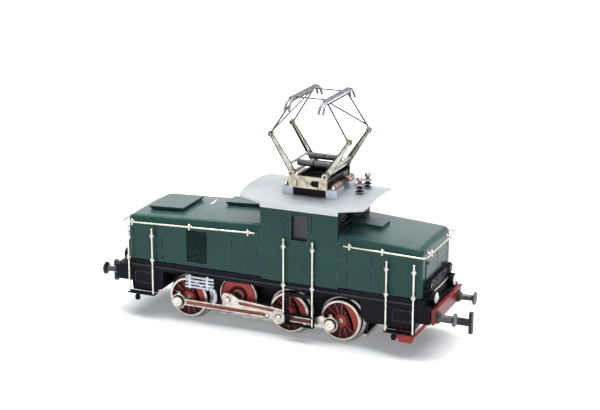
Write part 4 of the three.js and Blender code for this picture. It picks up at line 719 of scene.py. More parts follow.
# %% Model the jackshaft
JACK_X, _, JACK_Z = joint_at["jackshaft_spin"]
disc_rim = [(5.7, -8.9), (5.7, -9.96), (5.8, -10.08), (6.04, -10.08), (6.15, -9.95), (6.15, -8.95),
            (6.05, -8.85), (5.7, -8.85)]
disc_ring = [(3.0, -9.3), (3.0, -9.84), (3.16, -10.0), (5.34, -10.0), (5.5, -9.86), (5.5, -9.3)]
disc_hub = [(1.2, -9.3), (1.2, -10.2), (1.34, -10.4), (1.86, -10.4), (2.0, -10.26), (2.0, -9.3)]
disc_bolt = [(0.0, -9.3), (1.24, -9.3), (1.24, -10.0), (0.7, -10.1), (0.6, -10.3), (0.0, -10.32)]
disc_pattern = joined([turned(tyre_nickel, disc_rim, "Y", turns=64),
                       turned(web_shade_red, drum(5.75, -8.85, -9.5), "Y", turns=56),
                       turned(disc_red, disc_ring, "Y", turns=56),
                       turned(spoke_red, disc_hub, "Y"),
                       turned(gunmetal, disc_bolt, "Y"),
                       turned(disc_red, crank_boss(-9.6), "Y", CRANK_PIN),
                       pin(*PLAIN_PIN)])
shaft = turned(steel, drum(1.2, -9.2, 9.2), "Y", (JACK_X, 0, JACK_Z))
discs = [copied(disc_pattern, cranked(side, JACK_X, JACK_Z)) for side in SIDES]
finished("jackshaft_set", discs + [shaft], ["jackshaft"], "jackshaft_set")
forget(tyre_pattern, centre_pattern, disc_pattern, *nut_patterns)
print("jackshaft at x", round(JACK_X, 2))

# %% [markdown]
# A coupling rod is a milled bar with a flute along it. The flute is painted red and the
# edges stay bright. Over the jackshaft the rod grows into a tall plate, and near the
# front it forks. Small oil cups stand on the end eyes. The frame brings the bar with its
# flutes, so the copy only needs its colours by depth, its round eyes and its rivets.

# %% Dress the coupling rods
RIVETS = ((-3.75, -0.2), (-0.25, 0.0))
EYE_R, JACK_EYE_R = 2.4, 1.6
EYE_BORE, JACK_BORE = 2.02, 0.9
FLUTE_FROM, FLUTE_TO = 11.6, ROD_FACE - 0.06
rivet_profile = [(0.0, ROD_FACE - 0.1), (0.62, ROD_FACE - 0.1), (0.62, ROD_FACE + 0.06),
                 (0.5, ROD_FACE + 0.24), (0.25, ROD_FACE + 0.36), (0.0, ROD_FACE + 0.39)]
cup_neck = [(0.0, 2.0), (0.7, 2.0), (0.62, 2.3), (0.62, 2.6), (0.0, 2.6)]


def eye_profile(radius, bore):
    return [(0.8, ROD_BACK + 0.1), (radius, ROD_BACK + 0.1), (radius, ROD_FACE - 0.02),
            (radius - 0.12, ROD_FACE + 0.12), (bore + 0.1, ROD_FACE + 0.12), (bore, ROD_FACE + 0.03),
            (0.8, ROD_FACE + 0.03)]


def paint_flutes(rod, sign):
    rod.data.materials.append(flute_red.material)
    count = 0
    for face in rod.data.polygons:
        depth = sign * face.center.y / MM
        if FLUTE_FROM < depth < FLUTE_TO and face.normal.y * sign > 0.95 and face.area > 0.3 * MM * MM:
            face.material_index = len(rod.data.materials) - 1
            count += 1
    return count


for side, sign in SIDES.items():
    dx, dz = CRANK * math.cos(CRANK_ANGLE[side]), CRANK * math.sin(CRANK_ANGLE[side])
    low, high = AXLE_Z + dz, JACK_Z + dz
    first, second, third, jack = (x + dx for x in (*AXLE_X, JACK_X))
    wheel_eye = eye_profile(EYE_R, EYE_BORE)
    extra = [turned(rod_nickel, wheel_eye, "Y", (x, 0, low), side=sign) for x in (first, second, third)]
    extra.append(turned(rod_nickel, eye_profile(JACK_EYE_R, JACK_BORE), "Y", (jack, 0, high), side=sign))
    for x in (first, third):
        # A thin dark ring round the nut is painted shade in the groove beside it.
        shade = drum(1.96, ROD_FACE, ROD_FACE + 0.06, 1.4)
        extra.append(turned(gunmetal, shade, "Y", (x, 0, low), side=sign))
        cup = block(rod_nickel, (x - 0.55, sign * 11.1, low + 2.1), (x + 0.55, sign * 11.95, low + 3.1))
        extra.append(cup)
        extra.append(turned(rod_nickel, cup_neck, "Z", (x, sign * 11.52, low), 20))
    for x, z in RIVETS:
        place = (second + x, 0, low + z)
        extra.append(turned(nickel, rivet_profile, "Y", place, 20, sign))
        extra.append(turned(gunmetal, drum(0.82, ROD_FACE - 0.1, ROD_FACE + 0.05, 0.6), "Y", place, 20, sign))
    rod = dressed("coupling_rod_" + side, rod_nickel, "nickel", 0.09, 2, "rod_" + side, extra)
    print(side, "rod, red faces:", paint_flutes(rod, sign))

# %% [markdown]
# The hood rails are one bent wire round each hood. Small stanchions hold it, each a short
# shank with two beads, one above and one below the wire. Every bead is turned from one
# profile, so they all match, and the copies are joined to their wire.

# %% Model a stanchion and the hood rails
RAIL_Y = 14.4
RAIL_R = 0.22
HOOD_Y = 13.1
END_POST_Y = 8.8
RAILS = {"rear": {"start": -3.7, "cab_z": 32.3, "end_z": 30.5, "end_x": -48.6, "posts": (-44.9, -25.4, -6.0)},
         "front": {"start": 24.4, "cab_z": 32.1, "end_z": 31.5, "end_x": 49.4, "posts": (26.2, 36.3)}}
upper_bead = [(0.3, 0.42), (0.38, 0.62), (0.36, 0.8), (0.2, 0.98), (0.0, 1.02)]
bead_profile = [(r, -z) for r, z in reversed(upper_bead)] + [(0.15, -0.3), (0.15, 0.3)] + upper_bead
bead_pattern = turned(nickel, bead_profile, turns=20)


def stanchion(x, y, z, to_x, to_y):
    shank = wire(nickel, [(x, y, z), (x + to_x, y + to_y, z)], 0.2)
    collar = turned(nickel, [(0.0, 0.0), (0.42, 0.0), (0.42, 0.14), (0.2, 0.3), (0.0, 0.3)], turns=16)
    tipped = Vector((-to_x, -to_y, 0)).to_track_quat("Z", "X").to_matrix().to_4x4()
    collar.data.transform(shifted(x + to_x, y + to_y, z) @ tipped)
    return [copied(bead_pattern, shifted(x, y, z)), shank, collar]


for end, out in ENDS.items():
    rail = RAILS[end]
    start, end_x, cab_z, end_z = (rail[key] for key in ("start", "end_x", "cab_z", "end_z"))
    route = [(start, -RAIL_Y, cab_z), (end_x, -RAIL_Y, end_z), (end_x, RAIL_Y, end_z), (start, RAIL_Y, cab_z)]
    parts = [wire(nickel, bent(route, 1.6, 10), RAIL_R)]
    for sign in SIGNS:
        for x in rail["posts"]:
            z = cab_z + (end_z - cab_z) * (x - start) / (end_x - start)
            parts += stanchion(x, sign * RAIL_Y, z, 0, -sign * (RAIL_Y - HOOD_Y - 0.25))
        parts += stanchion(end_x, sign * END_POST_Y, end_z, -out * 1.2, 0)
    finished("hood_rail_%s_wire" % end, parts, ["hood_rail_" + end])
print("rails bent:", len(RAILS))

# %% [markdown]
# Steps hang between two upright handrails at three places on each side. Each handrail is a
# wire with a rounded tip on a narrow neck and two turned collars with small wings, one on
# the hood and one at the frame. The step itself is a pressed plate with a raised lip.

# %% Model one handrail and one step
HANDRAIL_X = {"rear": (-46.35, -38.2), "cab": (5.5, 14.7), "front": (37.7, 46.0)}
STEP_FRONT = 14.95
CAB_Y, SKIRT_Y = 13.25, 12.4
upper_collar = [(0.42, 0.14), (0.62, 0.5), (0.5, 0.7), (0.3, 0.75)]
collar_profile = [(r, -z) for r, z in reversed(upper_collar)] + upper_collar
collar_pattern = turned(nickel, collar_profile, turns=24)


def handrail(x, sign, at_cab, step_z):
    top = 32.0 if at_cab else 29.5
    y = sign * RAIL_Y
    holds = ((top - 2.55, 13.27), (17.5, 13.0)) if at_cab else ((top - 2.55, HOOD_Y), (19.3, HOOD_Y))
    bar = [(0.0, step_z), (0.28, step_z), (0.28, top - 1.3), (0.2, top - 1.1), (0.2, top - 0.85),
           (0.38, top - 0.6), (0.38, top - 0.3), (0.2, top - 0.05), (0.0, top)]
    parts = [turned(nickel, bar, "Z", (x, y, 0), 20)]
    for z, reach in holds:
        parts.append(copied(collar_pattern, shifted(x, y, z)))
        parts.append(wire(nickel, [(x, y, z), (x, sign * (reach + 0.25), z)], 0.24))
        parts.append(block(nickel, (x - 0.75, y - 0.16, z - 0.16), (x + 0.75, y + 0.16, z + 0.16), 0.08))
    return parts


def pressed_step(left, right, back_y, sign, z):
    tread = block(black, (left - 0.5, sign * back_y, z - 0.2), (right + 0.5, sign * STEP_FRONT, z + 0.12),
                  0.08)
    lip_ends = (sign * (back_y + 0.2), sign * (STEP_FRONT - 0.14))
    lip_route = [(left - 0.38, lip_ends[0]), (left - 0.38, lip_ends[1]), (right + 0.38, lip_ends[1]),
                 (right + 0.38, lip_ends[0])]
    lip = wire(black, bent([(x, y, z + 0.1) for x, y in lip_route], 0.5, 5), 0.13)
    ribs = []
    for i in range(9):
        x = left + 0.3 + i * (right - left - 0.6) / 8
        ribs.append(block(black, (x, sign * (back_y + 0.3), z + 0.08),
                          (x + 0.2, sign * (STEP_FRONT - 0.3), z + 0.2), 0.04, 1))
    return [tread, lip, *ribs]


print("handrail collar faces:", len(collar_pattern.data.polygons))

# %% Model what hangs the cab step
HANGER_BARS = ((8.3, 8.7, STEP_FRONT), (13.9, 15.1, 13.8))


def cab_hangers(left, right, sign, z):
    parts = [block(black, (left + 0.1, sign * 13.3, low), (right + 0.2, sign * front_y, high), 0.1)
             for low, high, front_y in HANGER_BARS]
    for x, width in ((left + 0.1, 1.6), (right - 0.9, 1.3)):
        narrow = x + width * 0.6
        strap = [(x, z), (x + width, z), (x + width, 9.1), (narrow, 9.8), (narrow, 15.1), (x, 15.1)]
        parts.append(slab(black, strap, sign * CAB_Y, sign * 13.75, 0.08))
        parts.append(block(black, (x, sign * 11.8, 14.7), (narrow, sign * 13.7, 15.1), 0.08))
    return parts


print("cab step bars at z:", [low for low, _, _ in HANGER_BARS])

# %% Place the step units
for side, sign in SIDES.items():
    for place, (left, right) in HANDRAIL_X.items():
        at_cab = place == "cab"
        z, back_y = (5.4, CAB_Y) if at_cab else (7.9, SKIRT_Y)
        parts = pressed_step(left, right, back_y, sign, z)
        parts += handrail(left, sign, at_cab, z) + handrail(right, sign, at_cab, z)
        if at_cab:
            parts += cab_hangers(left, right, sign, z)
        else:
            knob = [(0.0, 5.4), (0.6, 5.45), (0.8, 5.8), (0.8, 6.7), (0.55, 7.0), (0.55, z), (0.0, z)]
            knob_x = left + (right - left) * 0.28
            parts.append(turned(black, knob, "Z", (knob_x, sign * (back_y + 1.2), 0), 24))
        node = "step_%s_%s" % (place, side)
        finished(node + "_fitted", parts, [node])
forget(bead_pattern, collar_pattern)
print("step units:", 2 * len(HANDRAIL_X))

# %% [markdown]
# Buffers are turned steel: a foot on the beam, a shaft, and a head with a slightly domed face.
# The same profile is used at both ends and both sides. The couplers keep their frame shape,
# a bar with an upright oval plate, with rounded edges.

# %% Turn the buffers and dress the couplers
BUFFER_Y, BUFFER_Z = 9.75, 12.7
buffer_profile = [(0.0, 49.25), (0.7, 49.25), (0.7, 52.2), (1.4, 52.2), (1.5, 52.3), (1.5, 52.75),
                  (1.35, 52.9), (1.1, 53.15), (0.95, 53.5), (0.9, 53.9), (0.9, 56.35), (1.15, 56.55),
                  (1.85, 56.8), (2.0, 56.95), (2.0, 57.25), (1.88, 57.4), (1.0, 57.49), (0.0, 57.5)]
foot_profile = [(0.8, 52.2), (1.9, 52.2), (1.95, 52.0), (0.8, 52.0)]
for side, sign in SIDES.items():
    for end, out in ENDS.items():
        place = (0, sign * BUFFER_Y, BUFFER_Z)
        parts = [turned(buffer_steel, buffer_profile, "X", place, 40, out),
                 turned(buffer_steel, foot_profile, "X", place, 32, out)]
        node = "buffer_%s_%s" % (end, side)
        finished(node + "_turned", parts, [node])
for end in ENDS:
    dressed("coupler_" + end, coupler_black, "gunmetal", 0.16, body="coupler_%s_body" % end)
print("buffers and couplers done")

# %% [markdown]
# Two lamps stand on each end board. A lamp is a short black tube with a bright ring and a
# white domed lens. A smaller dark lamp sits above it, and a thin bar runs between them.
# Each profile starts at the back of its lamp and grows outwards.

# %% Build the lamps
LAMP_BACK = {"rear": 48.5, "front": 49.3}
LAMP_Y, LAMP_Z = 8.6, 18.25
UPPER_LAMP_Y, UPPER_LAMP_Z = 8.85, 21.84
BOLTS = ((-9.6, 20.6), (9.6, 20.6), (-2.5, 21.6), (2.5, 21.6))
lamp_tube = [(0.0, -0.2), (1.86, -0.2), (1.93, 0.1), (1.93, 1.4), (1.8, 1.72), (1.22, 1.72), (1.22, 0.9),
             (0.0, 0.9)]
lamp_ring = [(1.2, 1.6), (1.62, 1.68), (1.66, 1.82), (1.5, 1.9), (1.22, 1.84)]
lens_dome = [(0.0, 0.9), (1.17, 0.9), (1.17, 1.7), (1.08, 1.95), (0.85, 2.2), (0.5, 2.38), (0.0, 2.45)]
upper_tube = [(0.0, -0.8), (1.34, -0.8), (1.38, 0.3), (1.2, 0.52), (0.9, 0.46), (0.9, 0.2), (0.0, 0.2)]
upper_glass = [(0.0, 0.16), (0.88, 0.2), (0.6, 0.4), (0.0, 0.5)]
bolt_profile = [(0.0, -0.1), (0.45, -0.1), (0.45, 0.2), (0.25, 0.34), (0.0, 0.36)]
for end, out in ENDS.items():
    back_x = out * LAMP_BACK[end]
    for side, sign in SIDES.items():
        spot = (back_x, sign * LAMP_Y, LAMP_Z)
        high = (back_x, sign * UPPER_LAMP_Y, UPPER_LAMP_Z)
        parts = [turned(black, lamp_tube, "X", spot, 40, out), turned(nickel, lamp_ring, "X", spot, 40, out),
                 turned(black, upper_tube, "X", high, 28, out),
                 turned(lens_dark, upper_glass, "X", high, 24, out)]
        finished("lamp_%s_%s" % (end, side), parts)
        node = "headlamp_lens_%s_%s" % (end, side)
        finished(node + "_domed", [turned(lens_clear, lens_dome, "X", spot, 32, out)], [node])
    bar_route = [(back_x + out * bulge, y, 19.3) for bulge, y in ((0.25, -6.6), (0.4, 0), (0.25, 6.6))]
    bolts = [turned(gunmetal, bolt_profile, "X", (back_x, y, z), 6, out) for y, z in BOLTS]
    finished("lamp_bar_" + end, [wire(nickel, bent(bar_route, 0.6, 4), 0.2), *bolts])
print("lamps built")

# %% [markdown]
# The long hood has a tall louvre on each side. Its slats lean outwards and down, and each
# throws a thin shadow on the next. One slat is a bevelled slab, and copies are stacked.

# %% Stack the louvre slats
SLATS = 15
LOUVRE_LEFT, LOUVRE_RIGHT, LOUVRE_LOW, LOUVRE_HIGH = -27.2, -20.2, 19.9, 30.0
SLAT_GAP = 0.12
pitch = (LOUVRE_HIGH - LOUVRE_LOW) / SLATS
slat_outline = [(-12.68, 0.3), (-13.06, -0.1), (-13.06, -0.24), (-12.68, 0.04)]
# The slats take the near-black louvre green: painted shade between them.
slat = slab(louvre_shade_green, slat_outline, LOUVRE_LEFT + SLAT_GAP, LOUVRE_RIGHT - SLAT_GAP, 0.03, 1, "X")
slats = [copied(slat, shifted(z=LOUVRE_LOW + (i + 0.5) * pitch) @ mirror)
         for mirror in (Matrix.Identity(4), MIRROR_Y) for i in range(SLATS)]
forget(slat)
finished("louvre_slats", slats)
print("slats:", len(slats))

# %% [markdown]
# The paint of the long hood's top is chipped in one place. The chip is a thin slab that lies
# on the paint, tipped as the top is: it rises towards the cab and falls to the sides.

# %% Lay the chip on the hood
CHIP = [(-26.3, 2.4), (-26.7, 2.7), (-26.9, 4.9), (-27.3, 7.8), (-27.4, 9.0), (-26.7, 7.2), (-26.1, 4.2)]
TOP_RISE, TOP_FALL, TOP_LEVEL = 0.051, -0.025, 35.29
chip = slab(lens_clear, CHIP, -0.05, 0.03, 0.02, 1, "Z")
chip.data.transform(Matrix(((1, 0, 0, 0), (0, 1, 0, 0), (TOP_RISE, TOP_FALL, 1, TOP_LEVEL), (0, 0, 0, 1))))
finished("paint_chip", [chip])
print("chip corners:", len(CHIP))

# %% [markdown]
# The hood ends carry pairs of doors. Each door is a thin raised panel with a row of short
# vents along its outer edge, and a small ring handle hangs on one of each pair. The window
# frames are raised rims round the cab openings, as on the casting. On the cab's end walls the
# rims are black and black panels cover the wall round the windows: painted shade under the roof wings.

# %% Doors and handles on the hood ends
DOOR_FACE = {"rear": 47.2, "front": 48.0}
DOOR_TOP = {"rear": 28.9, "front": 29.9}
DOOR_LOW = 22.9
VENTS = 9
RING_Y, RING_Z, RING_R = -8.3, 28.25, 0.46
for end, out in ENDS.items():
    face, top = DOOR_FACE[end], DOOR_TOP[end]
    parts = []
    for sign in SIGNS:
        parts.append(block(green, (out * (face - 0.1), sign * 0.16, DOOR_LOW),
                           (out * (face + 0.2), sign * 9.9, top), 0.1))
        for i in range(VENTS):
            z = DOOR_LOW + 0.4 + i * (top - DOOR_LOW - 0.9) / VENTS
            parts.append(block(green, (out * (face + 0.14), sign * 9.0, z),
                               (out * (face + 0.34), sign * 9.7, z + 0.26), 0.06, 1))
    parts.append(block(edge_black, (out * face, -0.17, DOOR_LOW), (out * (face + 0.23), 0.17, top), 0.03, 1))
    ring = round_path(RING_R, 16, lambda a, b: (out * (face + 0.36), RING_Y + a, RING_Z + b))
    parts.append(wire(gunmetal, ring, 0.12, closed=True))
    parts.append(ball(gunmetal, (out * (face + 0.24), RING_Y, RING_Z + 0.41), 0.2, 12))
    parts.append(block(grid_silver, (out * (face + 0.2), -1.8, 20.9), (out * (face + 0.7), 1.8, 21.9)))
    finished("hood_doors_" + end, parts)
print("end doors fitted")

# %% Rims round the cab windows, and black end-wall panels as painted shade
def rim(finish, across, upward, put):
    left, right = sorted(across)
    low, high = upward
    route = ((left, low + 1), (left, low), (right, low), (right, high), (left, high), (left, low + 1))
    return wire(finish, bent([put(a, b) for a, b in route], 0.35, 4), 0.2)


WALLS = ((-2.4, -1), (22.2, 1))
rims = []
for sign in SIGNS:
    rims.append(rim(green, (7.3, 12.7), (31.2, 39.25), lambda a, b: (a, sign * 13.2, b)))
    outer = 12.0 if sign > 0 else 13.1
    for x, out in WALLS:
        # On the end walls the rims and the panels round the windows are black: painted shade.
        rims.append(rim(black, (sign * 1.0, sign * 10.4), (36.4, 40.0), lambda a, b: (x - out * 0.02, a, b)))
        for inner_y, outer_y, low_z, high_z in ((0.0, outer, 33.3, 36.3), (0.0, outer, 40.1, 41.6),
                                                (0.0, 0.9, 36.0, 40.4), (10.5, outer, 36.0, 40.4)):
            rims.append(block(black, (x - out * 0.1, sign * inner_y, low_z),
                              (x + out * 0.12, sign * outer_y, high_z), 0.04, 1))
finished("window_rims_and_shade_panels", rims)
print("window rims and wall panels:", len(rims))

# %% [markdown]
# The skirt carries a four-bar grid with a bent conduit, painted pale silver, and the front
# end carries red rail guards. Both keep the frame's shape with rounded edges.

# %% Dress the grids and the guard
PIPE_Y = 13.38
PIPE = ((-19.2, 12.35), (-17.9, 11.9), (-17.4, 10.7), (-17.4, 9.1), (-18.1, 7.4))
GRID_BOLTS = [(x, z) for x in (-25.9, -20.0) for z in (12.3, 15.3)]
grid_bolt = [(0.0, 13.6), (0.34, 13.6), (0.34, 13.86), (0.0, 13.92)]
for side, sign in SIDES.items():
    pipe = wire(pipe_grey, bent([(x, sign * PIPE_Y, z) for x, z in PIPE], 0.6, 5), 0.68, ribs=0.85)
    bolts = [turned(grid_silver, grid_bolt, "Y", (x, 0, z), 12, sign) for x, z in GRID_BOLTS]
    dressed("frame_grid_" + side, grid_silver, "strip_silver", 0.1, extra=[pipe, *bolts])
dressed("front_guard", red, "red_paint", 0.1)
print("skirt fittings done")

# %% [markdown]
# Two ribbed insulators stand on the roof. Their bodies are black glazed ribs, and each has a
# bright cap. The pantograph rests on four silver feet, with copper sleeves between.

# %% Turn the insulators
INSULATOR_X = 24.2
INSULATOR_Y = {"roof_insulator_1": -1.2, "roof_insulator_2": 5.2}
RIBS, RIB_PITCH = 3, 1.05
rib = [(0.7, 0.02), (1.15, 0.2), (1.4, 0.34), (1.45, 0.45), (1.34, 0.55), (0.85, 0.72), (0.66, 0.95)]
ribbed = [(r, h + n * RIB_PITCH) for n in range(RIBS) for r, h in rib]
ribbed = [(0.0, 0.0), *ribbed, (0.55, 3.6), (0.0, 3.6)]
cap = [(0.0, 3.2), (0.6, 3.2), (0.66, 3.4), (0.9, 3.7), (0.98, 4.1), (0.9, 4.5), (0.6, 4.8), (0.3, 4.9),
       (0.0, 4.9)]
for node, y in INSULATOR_Y.items():
    place = (INSULATOR_X, y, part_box(node)[0][2] / MM)
    parts = [turned(insulator_black, ribbed, "Z", place, 32), turned(copper, cap, "Z", place, 24)]
    finished(node + "_turned", parts, [node])
print("insulators turned:", len(INSULATOR_Y))

# %% Case the feet and turn the sleeves
FOOT_X = (4.05, 17.95)
FOOT_HALF = 1.78
ROD_X = {"rear": 3.5, "front": 18.5}
ROD_Z = 46.92
feet = [block(foot_silver, (x - FOOT_HALF, sign * 2.17, 43.2), (x + FOOT_HALF, sign * 8.13, 46.33), 0.22, 3)
        for x in FOOT_X for sign in SIGNS]
finished("roof_feet_cased", feet)
bar_profile = [(0.0, -8.3), (0.3, -8.3), (0.4, -8.15), (0.4, 8.15), (0.3, 8.3), (0.0, 8.3)]
sleeve = [(0.3, 2.6), (0.8, 2.6), (0.95, 2.75), (0.95, 6.95), (0.8, 7.1), (0.3, 7.1)]
for end, x in ROD_X.items():
    parts = [turned(gunmetal, bar_profile, "Y", (x, 0, ROD_Z), 24)]
    for sign in SIGNS:
        parts.append(turned(copper, sleeve, "Y", (x, 0, ROD_Z), 32, sign))
        parts.append(ball(nickel, (x, sign * 7.85, ROD_Z), 0.62))
    finished("mounting_rod_%s_turned" % end, parts, ["mounting_rod_" + end])
# A black block under the pantograph base fills the gap between the feet: painted shade.
plate = slab(black, rectangle(6.0, -7.9, 16.0, 7.9), 43.9, 46.4, 0.15, axis="Z")
finished("shade_block_under_base", [plate])
print("roof fittings done")

# %% [markdown]
# The pantograph is a diamond of two lower and two upper frames on a nickel-silver base.
# The lower arms are pressed channels that taper towards the knee: a pale outer web with two
# folded edges behind it, painted dark as painted shade inside the channel. The upper frame is
# plain wire with one brace. Each piece rides on its own body, so the diamond folds flat.

# %% Places of the pantograph
REAR_PIVOT, FRONT_PIVOT = joint_at["pantograph_fold"], joint_at["lower_front_fold"]
PAN_X = (REAR_PIVOT[0] + FRONT_PIVOT[0]) / 2
BASE_HALF = (FRONT_PIVOT[0] - REAR_PIVOT[0]) / 2
BASE_Z = REAR_PIVOT[2]
ARM = 13.0
FOLD = math.radians(57.2)
KNEE_OUT, KNEE_Z = BASE_HALF + ARM * math.cos(FOLD), BASE_Z + ARM * math.sin(FOLD)
HEAD_Z = BASE_Z + 2 * ARM * math.sin(FOLD)
BRACE_AT = 2.7
WEB_END = -0.5
print("knee at", round(KNEE_OUT, 2), round(KNEE_Z, 2), "head at", round(HEAD_Z, 2))

# %% Model the lower arms
def arm_point(out, along, across):
    angle = FOLD if out > 0 else math.pi - FOLD
    return (PAN_X + out * BASE_HALF + along * math.cos(angle) - across * math.sin(angle),
            BASE_Z + along * math.sin(angle) + across * math.cos(angle))


def arm_outline(out, *spots):
    return [arm_point(out, along, across) for along, across in spots]


def fold_edge(out, across, at_knee, wide):
    stop = ARM - 0.7
    return arm_outline(out, (WEB_END, across), (stop, at_knee), (stop, at_knee + wide),
                       (WEB_END, across + wide))


eye = [(0.56, 7.5), (0.8, 7.48), (0.97, 7.6), (0.97, 8.15), (0.8, 8.3), (0.56, 8.26)]
boss = [(0.3, 7.45), (0.85, 7.45), (0.85, 8.25), (0.7, 8.4), (0.3, 8.4)]
tip = [(0.0, 8.3), (0.4, 8.3), (0.4, 9.25), (0.3, 9.35), (0.0, 9.35)]
for end, out in ENDS.items():
    pivot, knee, brace = (arm_point(out, along, 0) for along in (0, ARM, BRACE_AT))
    web = arm_outline(out, (WEB_END, -1.05), (ARM - 0.4, -0.55), (ARM - 0.4, 0.2), (WEB_END, 0.62))
    parts = []
    for sign in SIGNS:
        parts.append(slab(arm_nickel, web, sign * 8.0, sign * 8.2, 0.06))
        # The folded edges take blackened steel: painted shade inside the channel.
        for edge in (fold_edge(out, -1.05, -0.56, 0.17), fold_edge(out, 0.62, 0.2, 0.36)):
            parts.append(slab(gunmetal, edge, sign * 7.5, sign * 8.15, 0.05, 1))
        for finish, profile, (x, z), turns in ((warm_nickel, eye, knee, 28), (arm_nickel, boss, pivot, 28),
                                               (gunmetal, tip, pivot, 20)):
            parts.append(turned(finish, profile, "Y", (x, 0, z), turns, sign))
    for radius, (x, z), turns in ((0.55, pivot, 24), (0.38, brace, 20)):
        parts.append(turned(steel, drum(radius, -7.9, 7.9), "Y", (x, 0, z), turns))
    finished("lower_arm_%s_pressed" % end, parts, ["lower_arm_" + end], "pan_lower_" + end)
print("lower arms pressed")

# %% Bend the upper frames
WIRE_Y = 8.65
DRAW = 0.9
WIRE_TOP = 0.955


def upper_point(out, share, y):
    return PAN_X + out * (KNEE_OUT - (KNEE_OUT - BASE_HALF) * share), y, KNEE_Z + (HEAD_Z - KNEE_Z) * share


knee_pin = [(0.0, 6.85), (0.4, 6.85), (0.4, 9.0), (0.0, 9.08)]
pin_head = [(0.3, 8.85), (0.62, 8.88), (0.62, 9.05), (0.4, 9.15), (0.3, 9.15)]
inner_collar = [(0.3, 6.85), (0.68, 6.9), (0.68, 7.2), (0.3, 7.25)]
for end, out in ENDS.items():
    knee_x = PAN_X + out * KNEE_OUT
    parts = []
    for sign in SIGNS:
        for finish, profile in ((gunmetal, knee_pin), (warm_nickel, pin_head), (warm_nickel, inner_collar)):
            parts.append(turned(finish, profile, "Y", (knee_x, 0, KNEE_Z), 20, sign))
        curl = round_path(0.56, 14, lambda a, b: (knee_x + a, sign * WIRE_Y, KNEE_Z + b))
        top = upper_point(out, WIRE_TOP, sign * (WIRE_Y - DRAW))
        parts.append(wire(wire_steel, curl, 0.2, closed=True))
        parts.append(wire(wire_steel, [upper_point(out, 0.03, sign * WIRE_Y), top], 0.27))
        parts.append(ball(wire_steel, top, 0.34))
    parts.append(wire(wire_steel, [upper_point(out, 0.13, out * (WIRE_Y - DRAW * 0.13)),
                                   upper_point(out, WIRE_TOP, -out * (WIRE_Y - 2.6))], 0.24))
    parts.append(wire(wire_steel, [upper_point(out, WIRE_TOP, sign * 8.1) for sign in SIGNS], 0.28))
    finished("upper_arm_%s_wires" % end, parts, ["upper_arm_" + end], "pan_upper_" + end)
print("upper frames bent")

# %% Shape the collector head
HORN = ((0.48, 8.4, 0.74), (0.5, 9.8, 0.66), (0.58, 11.3, -0.5), (0.72, 12.4, -2.3))
TIE_Y = 6.4
half_crown = [(0.68, 0.25), (0.75, 0.3), (0.75, 0.92), (0.55, 1.08), (0.2, 1.14)]
crown = half_crown + [(-a, b) for a, b in reversed(half_crown)]
parts = []
for out in SIGNS:
    x = PAN_X + out * BASE_HALF
    parts.append(slab(strip_silver, [(x + a, HEAD_Z + b) for a, b in crown], -9.2, 9.2, 0.05, 1))
    parts.append(slab(gunmetal, rectangle(x - 0.12, HEAD_Z + 1.1, x + 0.12, HEAD_Z + 1.145), -8.9, 8.9, 0.0))
    for sign in SIGNS:
        for fork in SIGNS:
            horn = bent([(x + fork * a, sign * y, HEAD_Z + b) for a, y, b in HORN], 0.9, 6)
            parts.append(wire(strip_silver, horn, 0.42))
            parts.append(ball(strip_silver, horn[-1], 0.43, 16))
for sign in SIGNS:
    tie = [(PAN_X + out * BASE_HALF, sign * TIE_Y, HEAD_Z + 0.5) for out in SIGNS]
    parts.append(wire(wire_steel, tie, 0.22))
finished("collector_head_shaped", parts, ["collector_head"], "pan_head")
print("collector head shaped")

# %% [markdown]
# Two close-wound springs pull the lower arms together and so raise the head. A real spring
# stretches as the arms fold. Each half here is one fixed wire along a helix, with a hook over
# the arm's cross bar.

# %% Wind the raising springs
SPRING_Y = 4.3
SPRING_Z = BASE_Z + BRACE_AT * math.sin(FOLD)
SPRING_HALF = 6.21
COIL_R, COIL_WIRE = 0.83, 0.17
TURNS, PER_TURN = 15, 12
HOOK = ((0.75, 0.55), (0.3, 0.25), (0.05, 0.0))
steps = TURNS * PER_TURN
for side, sign in SIDES.items():
    y = sign * SPRING_Y
    for end, out in ENDS.items():
        path = []
        for i in range(steps + 1):
            turn = 2 * math.pi * i / PER_TURN
            path.append((PAN_X + out * (0.05 + (SPRING_HALF - 1.1) * i / steps), y + COIL_R * math.sin(turn),
                         SPRING_Z + COIL_R * math.cos(turn)))
        path += [(PAN_X + out * (SPRING_HALF - short), y, SPRING_Z + rise) for short, rise in HOOK]
        coil = wire(spring_steel, path, COIL_WIRE, roundness=1)
        half = named("raising_spring_%s_%s_half" % (side, end), [coil])
        PAN_X * MM
        SPRING_Z * MM
        (PAN_X + out * (SPRING_HALF - 0.6)) * MM
        SPRING_Z * MM
        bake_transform(half)
        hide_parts("raising_spring_" + side)
print("springs wound:", TURNS * 2, "turns each")

# %% [markdown]
# The base is bent from nickel-silver sheet. Its side plates carry the pivots and show a
# narrow slot and a round-backed notch, which are cut here through the plate.

# %% Cut and dress the pantograph base
def carved(obj, cutters):
    for cutter in cutters:
        cutter.data.transform(Matrix.Scale(MM, 4))
        tool = obj.modifiers.new("cut", "BOOLEAN")
        tool.operation = "DIFFERENCE"
        tool.solver = "EXACT"
        tool.object = cutter
        alone(obj)
        bpy.ops.object.modifier_apply(modifier=tool.name)
    forget(*cutters)


INNER_SHADE_Y = 8.95
base = dressed("pantograph_base", warm_nickel, "warm_nickel", 0.08)
notch = arc(0.9, 90, 270, 10, (12.8, 48.0)) + [(14.4, 47.1), (14.4, 48.9)]
narrow_slot = rectangle(7.45, 46.8, 7.78, 48.9)
carved(base, [slab(gunmetal, outline, sign * 8.5, sign * 9.6, 0.0) for outline in (notch, narrow_slot)
              for sign in SIGNS])
